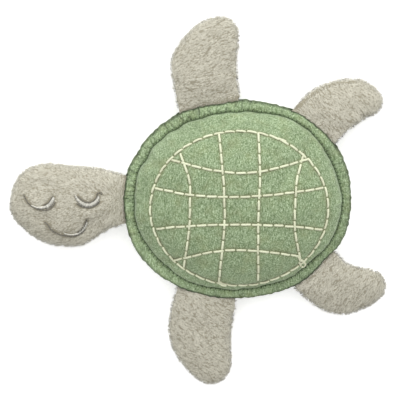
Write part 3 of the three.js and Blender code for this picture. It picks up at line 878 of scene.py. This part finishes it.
def run_stitches(tree, route, seed, length=STITCH_LENGTH, gap=STITCH_GAP, slant=0.0):
    """Divides a route into stitches and lays each over the felt from hole to hole."""
    dice = random.Random(seed)
    points, normals = project(tree, route)
    along = distances(points)
    count = max(1, round(along[-1] / (length + gap)))
    pitch = along[-1] / count
    stitches = []
    for k in range(count):
        start = k * pitch + dice.uniform(0.2, 0.8) * gap
        end = (k + 1) * pitch - dice.uniform(0.2, 0.8) * gap
        steps = np.linspace(0, 1, ARCH_POINTS)
        at = start + (end - start) * steps
        place = resample(at, along, points)
        up = unit(resample(at, along, normals))
        side = np.cross(place[-1] - place[0], up[ARCH_POINTS // 2])
        side /= np.linalg.norm(side)
        aside = dice.uniform(-0.08, 0.08) * MM
        sway = aside + (dice.uniform(-0.07, 0.07) * MM + slant) * (2 * steps - 1)
        arch = np.clip(np.sin(math.pi * steps), 0, 1) ** 0.4
        lift = (-0.15 + (0.15 + dice.uniform(0.2, 0.3)) * arch) * MM
        place = place + up * lift[:, None] + side * sway[:, None]
        tone = dice.uniform(-0.12, 0.12)
        stitches.append((place, up, (tone, tone)))
    return stitches


stitches = []
for number, (key, spots) in enumerate(ROUTES.items()):
    slant = 0.12 * MM if key == "oval" else 0.0
    stitches += run_stitches(upper_surface, smooth_route(spots), 40 + number, slant=slant)
# Where a thread ran out it was fastened with a few short stitches on top of each other.
FASTENINGS = [
    [(-6.8, -30.6), (-5.9, -31.6), (-4.4, -32.2)], [(-6.3, -31.0), (-4.6, -31.8), (-3.2, -32.1)],
    [(-6.9, -31.5), (-5.2, -32.4), (-3.4, -32.6)],
    [(15.2, 22.6), (18.9, 21.2)], [(22.9, -21.2), (23.7, -23.6)], [(23.5, -23.4), (25.9, -23.3)],
    [(23.4, -23.7), (24.5, -25.6), (26.2, -24.4)], [(24.0, -22.6), (26.0, -24.6)],
]
for number, spots in enumerate(FASTENINGS):
    stitches += run_stitches(upper_surface, smooth_route(spots, 0.2), 80 + number, length=3.4 * MM)
embroidery = sew("shell_stitches", stitches, THREAD_WIDTH / 2, THREAD_HEIGHT / 2)
embroidery.data.materials.append(thread_material("cream_stranded_cotton", "#7d6f47", "#f6fcdc", 0.2))
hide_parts("shell_embroidery")
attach(embroidery, "shell")

# Head and flippers
# Each is two pieces of short beige plush sewn right sides together, turned and stuffed. Its root is
# left flat and sewn in between the felts, so the plush rises from the rim and bends there. The cut
# pile is about a millimetre long, lies over in small locks and is combed one way on each limb.
VOXEL = 0.9 * MM
ROOT_HALF = 0.8 * MM
ROOT_INNER = -5.5 * MM       # where a root ends between the felts
ROOT_SWELL = 9 * MM
SIDE_ROUNDNESS = 0.64
PILE_STANDS = 0.3 * MM
SEAM_DEPTH = 0.6 * MM
SEAM_WIDTH = 0.7 * MM
BEND_START = -0.8 * MM
BEND_END = 2.5 * MM
# A limb's outline as the camera sees it, in mm right of and above the shell's middle, from one end
# of the root round the tip to the other. Its stuffing is thickest along the ridge, and its half
# thickness goes from the first value at the root to the second at the tip.
FORMS = {
    "head": {
        "edge": [(-38.5, 8.2), (-42, 8.8), (-46, 9.7), (-51, 11.2), (-57, 11.9), (-64, 12.4), (-70.5, 13.1),
                 (-76, 12.1), (-80.6, 9.3), (-83.4, 4.6), (-84.5, -1.2), (-84.2, -5.2), (-81.6, -9.4),
                 (-77, -13.4), (-71, -16.6), (-64, -17.8), (-58, -17.3), (-53, -14.6), (-48, -11.2),
                 (-45, -9.9), (-41.5, -9.8), (-38, -9.9)],
        "ridge": [(-44, -0.6), (-54, -1.2), (-64, -2.2), (-71.5, -2.0)],
        "plump": (6.0, 7.8),
        "nap": None,
    },
    "front_right_flipper": {
        "edge": [(-21.0, 29.5), (-21.9, 33.5), (-23.1, 40), (-24.3, 46), (-24.5, 50.5), (-23.2, 55),
                 (-20.3, 59.6), (-15, 64.9), (-10.5, 67.3), (-5.8, 68.1), (-2.0, 67), (0.2, 64),
                 (0.8, 60.5), (0.2, 54), (0.1, 47), (0.6, 41), (1.7, 36.5), (2.6, 33)],
        "ridge": [(-10.2, 36), (-11.4, 46), (-10.3, 54), (-7.6, 60)],
        "plump": (4.6, 4.2),
        "nap": 22,
    },
    "front_left_flipper": {
        "edge": [(-0.3, -34), (-0.2, -38), (-1.0, -42.5), (-2.0, -48), (-2.5, -54), (-2.1, -60), (-2.8, -65),
                 (-5.6, -68.3), (-9.8, -69.4), (-13.6, -68.2), (-18, -64.6), (-21.8, -60), (-24.1, -55.5),
                 (-25.2, -50), (-25.0, -44.5), (-23.7, -38.5), (-22.2, -32.5), (-21.3, -29)],
        "ridge": [(-11.2, -37), (-13.2, -46), (-12.8, -54), (-9.8, -61.5)],
        "plump": (4.6, 4.2),
        "nap": 144,
    },
    "rear_right_flipper": {
        "edge": [(18.2, 29.8), (20.8, 33.4), (24.6, 37.4), (29.2, 41), (35, 43.8), (41, 44.9), (46.5, 44.5),
                 (51, 42.3), (54, 39), (54.5, 35.3), (52.6, 32.5), (48, 29.8), (43, 26.7), (37.8, 21.4),
                 (34.5, 17.5)],
        "ridge": [(30.5, 29.5), (37, 35.5), (43, 37.6), (48, 37.4)],
        "plump": (4.3, 3.7),
        "nap": 134,
    },
    "rear_left_flipper": {
        "edge": [(33.2, -16), (36.4, -19.6), (40, -23.6), (45, -25.8), (51.6, -27), (54.8, -29.4),
                 (55.8, -33), (54.4, -36.6), (50.3, -39.7), (45, -42.2), (39.5, -43.4), (34, -42.2),
                 (28, -38.9), (23.6, -35), (20.8, -32.6), (17.8, -29.2)],
        "ridge": [(30.2, -29), (36.6, -33.4), (43, -34.8), (48.8, -33.2)],
        "plump": (4.3, 3.7),
        "nap": 56,
    },
}


def limb_axes(limb):
    """A limb's hinge, the ways out and sideways from it, and how steeply it droops to the floor."""
    hinge = np.array(joint_of[limb]["pos_m"])
    out = Vector(joint_of[limb]["axis"]).cross(Vector((0, 0, 1)))
    middles = []
    for panel in ("_upper_plush", "_lower_plush"):
        low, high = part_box(limb + panel)
        middles.append((low + high) / 2)
    if (middles[0] - Vector(hinge)).dot(out) < 0:
        out = -out
    out = np.array(out)
    middle = np.array(middles[0] + middles[1]) / 2
    droop = (middle[2] - hinge[2]) / ((middle - hinge) @ out)
    return hinge, out, np.array([-out[1], out[0], 0]), droop


def in_plane(limb, route):
    """A route of the picture on the limb's middle plane: how far out of the hinge and how far aside."""
    hinge, out, aside, droop = limb_axes(limb)
    facing = Vector((-droop * out[0], -droop * out[1], 1))
    spots = []
    for right, up in route:
        origin, ray = sight(right, up)
        place = origin + ray * ((Vector(hinge) - origin).dot(facing) / ray.dot(facing))
        spots.append(((np.array(place) - hinge) @ out, (np.array(place) - hinge) @ aside))
    return np.array(spots)


def pillow(limb):
    """A limb's outside as rings from its side seam in to the ridge, above and below."""
    form = FORMS[limb]
    hinge, out, aside, droop = limb_axes(limb)
    edge = in_plane(limb, smooth_route(form["edge"], 0.7))
    inner = np.linspace((ROOT_INNER, edge[-1][1] * 0.97), (ROOT_INNER, edge[0][1] * 0.97), 32)
    edge = np.concatenate([edge, inner])
    ridge = in_plane(limb, smooth_route(form["ridge"], 0.7))
    inside = np.linspace((ROOT_INNER, ridge[0][1]), ridge[0], 12, endpoint=False)
    ridge = np.concatenate([inside, ridge])
    nearest = np.linalg.norm(edge[:, None, :] - ridge[None, :, :], axis=2).argmin(1)
    foot = ridge[nearest]
    at_end = edge[:, 0] < ROOT_INNER + 0.5 * MM
    foot[at_end] = edge[at_end] + (2 * MM, 0)
    length = ridge[:, 0].max()
    shares = [0, 0.03, 0.09, 0.18, 0.3, 0.46, 0.66, 0.85, 1]
    count = len(edge)

    def ring(share, side):
        place = edge + (foot - edge) * share
        full = np.interp(place[:, 0] / length, [0, 1], form["plump"]) * MM - PILE_STANDS
        grown = np.clip((place[:, 0] + 1.5 * MM) / ROOT_SWELL, 0, 1)
        half = ROOT_HALF + (full - ROOT_HALF) * grown * (2 - grown)
        half = half * (1 - (1 - share) ** 2) ** SIDE_ROUNDNESS
        points = hinge + np.outer(place[:, 0], out) + np.outer(place[:, 1], aside)
        points[:, 2] += droop * np.maximum(place[:, 0], 0) + side * half
        return points

    rings = [ring(share, -1) for share in reversed(shares)] + [ring(share, 1) for share in shares[1:]]
    faces = [list(range(count))[::-1], [(len(rings) - 1) * count + k for k in range(count)]]
    for level in range(len(rings) - 1):
        below, above = level * count, (level + 1) * count
        for k in range(count):
            j = (k + 1) % count
            faces.append([below + k, below + j, above + j, above + k])
    mesh = bpy.data.meshes.new(limb + "_plush")
    mesh.from_pydata(np.concatenate(rings).tolist(), [], faces)
    made = put_in_scene(limb + "_plush", mesh)
    edit(made, bpy.ops.mesh.normals_make_consistent)
    return made, ring(0, 1)


def remesh(obj, voxel):
    take(obj)
    obj.data.remesh_voxel_size = voxel
    bpy.ops.object.voxel_remesh()


def outline(points, centre, turns):
    """How far a piece reaches from its centre in plan, for each of some directions."""
    x, y = points[:, 0] - centre[0], points[:, 1] - centre[1]
    angle, radius = np.arctan2(y, x), np.hypot(x, y)
    off = (turns[:, None] - angle[None, :] + math.pi) % (2 * math.pi) - math.pi
    return np.where(np.abs(off) < 0.06, radius[None, :], 0).max(1)


# The side seam of the rear right flipper has turned up into sight.
SIDE_SEAM = [(22.5, 33.7), (25.3, 36), (28.5, 38.6), (31.5, 40.6), (35, 42.1), (39, 43), (45, 43.5)]


def plush_skin(limb):
    """The stuffed plush without its pile, blown up as cloth and fitted to its outline again."""
    skin, rim = pillow(limb)
    remesh(skin, VOXEL)
    hinge, out, _, _ = limb_axes(limb)
    reach = (points_of(skin.data) - hinge) @ out
    modify(skin, "SMOOTH", factor=0.5, iterations=14)
    inflate(skin, reach < 3 * MM, pressure=4, slack=0.03, cap=0.7 * MM)
    modify(skin, "SMOOTH", factor=0.5, iterations=3)
    modify(skin, "SUBSURF", levels=1, render_levels=1)

    ahead = rim[(rim - hinge) @ out > 0]
    centre = (ahead.min(0) + ahead.max(0)) / 2
    turns = np.linspace(-math.pi, math.pi, 121)
    points = points_of(skin.data)
    grow = (outline(rim, centre, turns) - PILE_STANDS) / outline(points, centre, turns)
    x, y = points[:, 0] - centre[0], points[:, 1] - centre[1]
    factor = np.interp(np.arctan2(y, x), turns, grow)
    points[:, 0], points[:, 1] = centre[0] + x * factor, centre[1] + y * factor
    put_points(skin.data, points)
    points, normals = points_of(skin.data), normals_of(skin.data)
    reach = (points - hinge) @ out
    push = lumps(points, 8 * MM, 0.25 * MM, 60) * smoothstep(reach, 1 * MM, 6 * MM)
    if limb == "rear_right_flipper":
        line = project(surface_of(skin), smooth_route(SIDE_SEAM))[0]
        push -= SEAM_DEPTH * np.exp(-(nearest_distance(points, [line]) / SEAM_WIDTH) ** 2)
    points += normals * push[:, None]
    points[:, 2] = np.maximum(points[:, 2], PILE_STANDS)
    put_points(skin.data, points)
    take(skin)
    bpy.ops.object.shade_smooth()
    return skin


skins = {limb: plush_skin(limb) for limb in LIMBS}


# The pile: each lock is a small closed grain, pointed at both ends and half sunk in the backing
# along the nap. Where a limb turns down at its sides, a share of them stands up and makes the fuzz
# of its outline. In the narrow creases between strands of pile the locks are smaller, and painted darker as
# shade.
LOCK_LENGTH = 1.4 * MM
LOCK_WIDTH = 0.36 * MM
LOCK_HEIGHT = 0.14 * MM
LOCK_SUNK = 0.06 * MM
LOCK_SPREAD = 0.15           # how unlike in size the locks are
LOCK_DENSITY = 11            # locks to a square millimetre
HEAD_DENSITY = 9.3           # fewer on the head, which is the largest
PILE_START = -3 * MM
LINE_CLEAR = 0.35 * MM       # from the side seam and the face's stitches to the nearest pile
STANDING = 0.6               # share of the locks that stand up where a limb turns down
STANDING_LEAN = math.radians(55)
STANDING_THIN = 0.55
CREASE_LENGTH = 3.2 * MM
CREASE_WIDTH = 0.7 * MM
CREASE_EDGE = 0.13
CREASE_SMALL = 0.3
FACING_SIDEWAYS = 0.4        # how far a lock's face turns to its sides
FACING_UP = 1.05             # and up to the light, since the tips of a real pile point every way
# The tone from 0 for dark pile to 1 for light.
TONE = 0.53
TONE_STREAK = 0.12
# Painted shade in the creases between strands of pile, less of it on the head.
TONE_CREASE_SHADE = 0.85
TONE_HEAD_CREASE_SHADE = 0.38
# Painted light: the pile is lighter on a limb's steep sides.
TONE_SIDE_LIGHT = 0.45          # lighter where the pile stands up
TONE_SPREAD = 0.11
# A lock's corners are its back, left, right, top, tip and bottom.
LOCK_FACES = [[4, 1, 3], [1, 0, 3], [0, 2, 3], [2, 4, 3], [1, 4, 5], [0, 1, 5], [2, 0, 5], [4, 2, 5]]
CORNER_HEIGHTS = [0.3, 0.1, 0.1, 0.97, 0.7, 0.02]


def nap_at(limb, points):
    """The way that the pile is combed, as a level direction for each point."""
    if FORMS[limb]["nap"] is None:
        return unit((points - np.array(joint_of[limb]["pos_m"])) * (1, 1, 0))
    turn = math.radians(FORMS[limb]["nap"])
    return np.tile([math.cos(turn), math.sin(turn), 0], (len(points), 1))


def creases(limb, points):
    """Streaks that are long with the nap and narrow across it, about -1 to 1, and the creases between."""
    if FORMS[limb]["nap"] is None:
        neck = np.array(joint_of[limb]["pos_m"])
        x, y = neck[0] - points[:, 0], neck[1] - points[:, 1]
        run, step = np.hypot(x, y), np.arctan2(y, x + 4 * MM) * 22 * MM
    else:
        turn = math.radians(FORMS[limb]["nap"])
        run = points[:, 0] * math.cos(turn) + points[:, 1] * math.sin(turn)
        step = points[:, 1] * math.cos(turn) - points[:, 0] * math.sin(turn)
    step = step + lumps(points, 6 * MM, 1.2 * MM, 31)
    places = np.stack([run / CREASE_LENGTH, step / CREASE_WIDTH, points[:, 2] / (3 * MM)], 1)
    waves = np.array([noise.noise(Vector(place)) for place in places])
    return waves, 1 - smoothstep(np.abs(waves), 0, CREASE_EDGE)


def scatter(mesh, density, dice):
    """Places spread evenly over a mesh, and its normals there."""
    mesh.calc_loop_triangles()
    corners = np.array([t.vertices[:] for t in mesh.loop_triangles])
    points, normals = points_of(mesh), normals_of(mesh)
    a, b, c = (points[corners[:, k]] for k in range(3))
    area = np.linalg.norm(np.cross(b - a, c - a), axis=1) / 2
    total = int(area.sum() / MM ** 2 * density)
    chosen = corners[dice.choice(len(area), total, p=area / area.sum())]
    shares = dice.dirichlet((1, 1, 1), total)[:, :, None]
    return (points[chosen] * shares).sum(1), unit((normals[chosen] * shares).sum(1))


def lock_mesh(name, locks, facing, tone):
    """All the locks as one piece, with their tone and height kept as its UV map."""
    first = np.arange(len(locks))[:, None] * 6
    faces = np.concatenate([first + np.array([corner]) for corner in LOCK_FACES])
    made = bpy.data.meshes.new(name)
    made.vertices.add(len(locks) * 6)
    made.loops.add(len(faces) * 3)
    made.polygons.add(len(faces))
    made.vertices.foreach_set("co", locks.astype(np.float32).ravel())
    made.loops.foreach_set("vertex_index", faces.astype(np.int32).ravel())
    made.polygons.foreach_set("loop_start", np.arange(0, len(faces) * 3, 3, dtype=np.int32))
    made.update(calc_edges=True)
    made.normals_split_custom_set_from_vertices(np.repeat(facing, 6, axis=0).tolist())
    uv = made.uv_layers.new(name="OFBake")
    per_corner = np.empty((len(faces), 3, 2))
    per_corner[:, :, 0] = tone[faces // 6] + 0.004 * (faces % 6)
    per_corner[:, :, 1] = np.array(CORNER_HEIGHTS)[faces % 6]
    uv.data.foreach_set("uv", per_corner.astype(np.float32).ravel())
    return put_in_scene(name, made)


def pile(name, skin, limb, density, keep_clear, seed):
    """A limb's pile, left out near the points of keep_clear."""
    dice = np.random.default_rng(seed)
    root, normal = scatter(skin.data, density, dice)
    hinge, out, _, _ = limb_axes(limb)
    reach = (root - hinge) @ out
    keep = reach > PILE_START
    root, normal, reach = root[keep], normal[keep], reach[keep]
    count = len(root)
    side_on = smoothstep(1 - np.abs(normal[:, 2]), 0.2, 0.8)
    nap = unit(nap_at(limb, root) * (1 - side_on)[:, None] + normal * (1, 1, 0) * side_on[:, None])
    streak, crease = creases(limb, root)
    swirl = lumps(root, 6 * MM, 0.4, seed + 1) + dice.normal(0, 0.25, count)
    nap = nap + np.stack([-nap[:, 1], nap[:, 0], 0 * swirl], 1) * swirl[:, None]
    along = unit(nap - (nap * normal).sum(1, keepdims=True) * normal)
    side = np.cross(normal, along)
    up = (dice.uniform(0, 1, count) < STANDING * side_on) * 1.0
    lean = math.pi / 2 - up * (math.pi / 2 - STANDING_LEAN + dice.normal(0, 0.2, count))
    way = np.cos(lean)[:, None] * normal + np.sin(lean)[:, None] * along
    size = dice.uniform(1 - LOCK_SPREAD, 1 + LOCK_SPREAD, count) * (1 - CREASE_SMALL * crease)
    size = (size * (0.4 + 0.6 * smoothstep(reach, -2.5 * MM, 0)))[:, None]
    up = up[:, None]
    over = np.cross(way, side)
    middle = root + way * LOCK_LENGTH * size * 0.45 * up
    sunk = over * LOCK_SUNK * (1 - up)
    half_long = way * LOCK_LENGTH * size * 0.5
    half_wide = side * LOCK_WIDTH * size * (1 - STANDING_THIN * up) * 0.5
    tall = over * LOCK_HEIGHT * size
    locks = np.stack([
        middle - half_long - sunk, middle + half_wide, middle - half_wide,
        middle + tall, middle + half_long - sunk, middle - tall * 0.7,
    ], 1)
    facing = normal + FACING_SIDEWAYS * side * dice.normal(0, 1, count)[:, None]
    facing[:, 2] += FACING_UP * np.clip(0.5 + 2 * normal[:, 2], -1, 1)
    # Painted light on the steep sides, and painted shade in the creases, less of it on those sides.
    side_light = smoothstep(1 - normal[:, 2], 0.2, 0.9) * (normal[:, 2] > -0.5)
    # How deep the painted shade in the creases is.
    depth = TONE_HEAD_CREASE_SHADE if limb == "head" else TONE_CREASE_SHADE
    tone = TONE + TONE_STREAK * streak - depth * crease * (1 - 0.5 * side_light) + TONE_SIDE_LIGHT * side_light
    tone = (tone + TONE_SPREAD * dice.normal(0, 1, count)).clip(0.02, 0.97)
    clear = locks[:, :, 2].min(1) > 0
    if keep_clear is not None:
        ends = [nearest_distance(locks[:, k], [keep_clear]) for k in (0, 3, 4)]
        clear &= np.min(ends, axis=0) > LINE_CLEAR
    return lock_mesh(name, locks[clear], unit(facing)[clear], tone[clear])


# Polyester plush: the locks are matt with a soft bloom, and each is painted darker at its foot than along
# its top, as shade.
# The creases between them are painted as short fine darker lines of shade.
PLUSH_DARK = "#9d9784"
PLUSH_LIGHT = "#ebe8d8"
PLUSH_SHADE = "#a39d8a"


def plush_backing(name):
    """The knitted backing and the foot of the pile, as far as they show between the locks, darker with
    painted shade.
    """
    material, tree = new_material(name)
    place = add(tree, "ShaderNodeTexCoord").outputs["Object"]
    ramp = colour_ramp(tree, flecks(tree, place, 0.5, Detail=2.0), PLUSH_SHADE, PLUSH_DARK)
    end_material(tree, ramp.outputs["Color"], 0.95, 0.2, 0.3)
    return material


def plush_pile(name):
    """The locks in the tone and at the height that their UV map keeps."""
    material, tree = new_material(name)
    uv = add(tree, "ShaderNodeUVMap", uv_map="OFBake").outputs["UV"]
    parts = add(tree, "ShaderNodeSeparateXYZ", {0: uv}).outputs
    ramp = colour_ramp(tree, parts["X"], PLUSH_DARK, PLUSH_LIGHT)
    # Painted shade: each lock darker at its foot than at its top.
    shade = ranged(tree, parts["Y"], (0.0, 1.0), (0.84, 1.03))
    end_material(tree, toned(tree, ramp.outputs["Color"], shade), 0.9, 0.15, 0.7)
    return material


backing = plush_backing("plush_knitted_backing")
cut_pile = plush_pile("plush_cut_pile")


def bend_at_root(piece, limb):
    hinge, out, _, _ = limb_axes(limb)
    start, end = Vector(hinge + BEND_START * out), Vector(hinge + BEND_END * out)
    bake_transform(piece, "shell", limb, start=start, end=end)


# Sleeping face
# Two closed eyes and a smile, worked in grey rayon through the head's upper plush before it was sewn
# up. Each is a satin crescent that parts the pile, with painted shade along one edge and a painted highlight
# along the other, edged with back stitches in dark thread that paint the shade where the satin sinks into
# the pile.
FACE_THREAD = 0.4 * MM
FACE_PITCH = 0.34 * MM
FURROW = 0.45 * MM
FURROW_WIDTH = 1.2 * MM
EDGE_STITCH = 0.9 * MM
# The middle of each crescent and its widths in mm from one end to the other, then the lines of its dark edge
# stitches, which paint the shade along its edges.
FACE = {
    "left_eye_stitches": (
        [(-76.8, -2.6), (-74.6, -3.4), (-72.6, -3.4), (-70.6, -2.8), (-69.2, -1.2), (-68.4, 0.5)],
        [0.3, 0.6, 1.0, 1.6, 1.7, 1.0],
        [[(-79.6, 1.5), (-79.2, 0.2), (-78.3, -1.3), (-76.9, -2.7), (-75.1, -3.8), (-72.4, -4.4),
          (-70.3, -4.1), (-68.6, -2.8), (-67.9, -1.3)],
         [(-72.3, -2.5), (-70.5, -1.5), (-69.7, -0.3), (-68.8, 1.0)]],
    ),
    "right_eye_stitches": (
        [(-60.5, 1.0), (-59.2, -0.9), (-57.5, -2.2), (-55.6, -2.6), (-53.7, -2.1), (-52.2, -0.8),
         (-51.5, 0.9)],
        [0.5, 1.2, 1.6, 1.7, 1.5, 1.3, 0.8],
        [[(-59.4, 1.0), (-58.0, -0.5), (-56.3, -1.3), (-54.7, -1.3), (-53.1, -0.3), (-52.5, 1.0),
          (-52.1, 2.0), (-50.9, 2.3), (-50.4, 1.4)],
         [(-60.1, -1.9), (-58.2, -3.1), (-55.8, -3.6), (-54.0, -3.3), (-52.2, -2.3), (-51.2, -1.0)]],
    ),
    "mouth_stitches": (
        [(-64.5, -13.1), (-62.0, -13.5), (-59.8, -13.2), (-58.0, -12.0), (-56.8, -10.3), (-56.0, -8.4)],
        [0.3, 0.4, 0.7, 1.1, 1.3, 0.9],
        [[(-71.9, -8.7), (-70.7, -9.9), (-69.3, -11.7), (-67.4, -12.9), (-65.2, -13.7), (-62.7, -14.2),
          (-60.6, -14.1), (-58.6, -13.2), (-56.6, -11.5)],
         [(-59.8, -12.7), (-58.4, -11.7), (-57.3, -10.3), (-56.7, -8.7), (-56.0, -7.5)]],
    ),
}

head_skin = skins["head"]
head_tree = surface_of(head_skin)
face_lines = [project(head_tree, smooth_route(form[0], 0.15))[0] for form in FACE.values()]
points, normals = points_of(head_skin.data), normals_of(head_skin.data)
near = nearest_distance(points, face_lines)
furrow = FURROW * np.exp(-(near / FURROW_WIDTH) ** 2)
put_points(head_skin.data, points - normals * furrow[:, None])
head_tree = surface_of(head_skin)

grey_rayon = thread_material("grey_rayon_thread", "#57544a", "#f3f1e6", 0.3, roughness=0.5)
face_spots = []
for key, (spots, widths, edges) in FACE.items():
    line, up = project(head_tree, smooth_route(spots, 0.1))
    along = distances(line)
    stations = np.linspace(0, along[-1], len(widths))
    dice = random.Random(key)
    stitches = []
    for at in np.arange(0, along[-1] - 0.2 * MM, FACE_PITCH):
        width = np.interp(at, stations, widths) * MM
        middle, beyond = resample([at, at + 0.2 * MM], along, line)
        over = unit(resample([at], along, up))[0]
        ahead = (beyond - middle) / np.linalg.norm(beyond - middle)
        across = np.cross(over, ahead)
        steps = np.linspace(-1, 1, BENDS)
        half = width / 2 * (1 + dice.uniform(-0.15, 0.2))
        # Painted light: each satin stitch runs from painted shade at one edge of the crescent to a painted
        # highlight at the other.
        tone = dice.uniform(-0.45, 0.1)
        bow = (1 - steps ** 2) * 0.3 * MM + 0.05 * MM
        run = middle + across * (half * steps)[:, None] + ahead * (0.5 * half * steps)[:, None]
        stitches.append((run + over * bow[:, None], np.tile(over, (BENDS, 1)), (tone - 0.55, tone + 0.7)))
    face_spots.append(line)
    # Painted shade: dark edge stitches stand for the shade where the satin sinks into the pile.
    for number, edge in enumerate(edges):
        dark = run_stitches(head_tree, smooth_route(edge, 0.1), 7 + number, length=EDGE_STITCH, gap=0.1 * MM)
        stitches += [(places + 0.25 * MM * over, over, (-0.9, -0.9)) for places, over, _ in dark]
        face_spots.append(project(head_tree, smooth_route(edge, 0.1))[0])
    face = sew(key.replace("_stitches", "_satin"), stitches, FACE_THREAD / 2, FACE_THREAD / 2, plies=2)
    face.data.materials.append(grey_rayon)
    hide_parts(key)
    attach(face, "head")

for number, limb in enumerate(LIMBS):
    skin = skins[limb]
    clear = np.concatenate(face_spots) if limb == "head" else None
    if limb == "rear_right_flipper":
        clear = project(surface_of(skin), smooth_route(SIDE_SEAM))[0]
    density = (HEAD_DENSITY if limb == "head" else LOCK_DENSITY) * 1
    locks = pile(limb + "_pile", skin, limb, density, clear, 100 + number)
    for piece, finish in ((skin, backing), (locks, cut_pile)):
        piece.data.materials.append(finish)
        bend_at_root(piece, limb)
    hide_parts(limb + "_upper_plush", limb + "_lower_plush", limb + "_root_tab")

# Fillings
# Crimped polyester fibre, teased out and pushed in by hand. None of it shows unless a seam opens.
# Each filling has its mesh's voxel, its lumps' size and height, and how far it stays inside its cover.
SHELL_FILL = (1.5 * MM, 6 * MM, 0.4 * MM, 1.9 * MM)
LIMB_FILL = (1.1 * MM, 4 * MM, 0.3 * MM, 0.9 * MM)
LEAF_FILL = (0.7 * MM, 1.6 * MM, 0.45 * MM, 0.4 * MM)

wadding, tree = new_material("crimped_polyester_fibre")
place = add(tree, "ShaderNodeTexCoord").outputs["Object"]
crimp = flecks(tree, place, 0.9, Detail=4.0, Roughness=0.7, Distortion=1.5)
ramp = colour_ramp(tree, crimp, "#d9d7d1", "#fbfaf6")
end_material(tree, ramp.outputs["Color"], 0.9, 0.2, 0.4, relief=(crimp, 1.0, 0.4 * MM))


def stuffing(name, node, body, material, fill, seed):
    """A loose lumpy mass in the place of a CAD filling, a little smaller so that it stays inside."""
    voxel, lump_size, lump_height, inset = fill
    mesh = frame["nodes"][node].data.copy()
    mesh.materials.clear()
    mass = put_in_scene(name, mesh)
    remesh(mass, voxel)
    points, normals = points_of(mass.data), normals_of(mass.data)
    tree = surface_of(mass)
    thick = []
    for point, normal in zip(points, normals):
        through = tree.ray_cast(Vector(point - normal * 0.01 * MM), Vector(-normal))[3]
        thick.append(through or 0)
    thick = np.array(thick)
    push = lumps(points, lump_size, lump_height, seed) * smoothstep(thick, 0, 3 * inset)
    push -= np.minimum(inset, 0.4 * thick)
    put_points(mass.data, points + normals * push[:, None])
    take(mass)
    bpy.ops.object.shade_smooth()
    mass.data.materials.append(material)
    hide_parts(node)
    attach(mass, body)


stuffing("shell_wadding", "shell_filling", "shell", wadding, SHELL_FILL, 5)
for number, limb in enumerate(LIMBS):
    stuffing(limb + "_wadding", limb + "_filling", limb, wadding, LIMB_FILL, 70 + number)

# Catnip
# A pinch of dried and crumbled leaf in the middle of the shell's filling, near the belly.
leaf, tree = new_material("crumbled_dried_leaf")
place = add(tree, "ShaderNodeTexCoord").outputs["Object"]
crumbs = add(tree, "ShaderNodeTexVoronoi", {"Vector": place, "Scale": 1 / (0.9 * MM)}).outputs
crumb = add(tree, "ShaderNodeSeparateColor", {0: crumbs["Color"]}).outputs[0]
ramp = colour_ramp(tree, crumb, "#5d6238", "#a2a271")
end_material(tree, ramp.outputs["Color"], 0.85, relief=(crumbs["Distance"], 1.0, 0.5 * MM))
stuffing("catnip_leaf", "catnip", "shell", leaf, LEAF_FILL, 9)
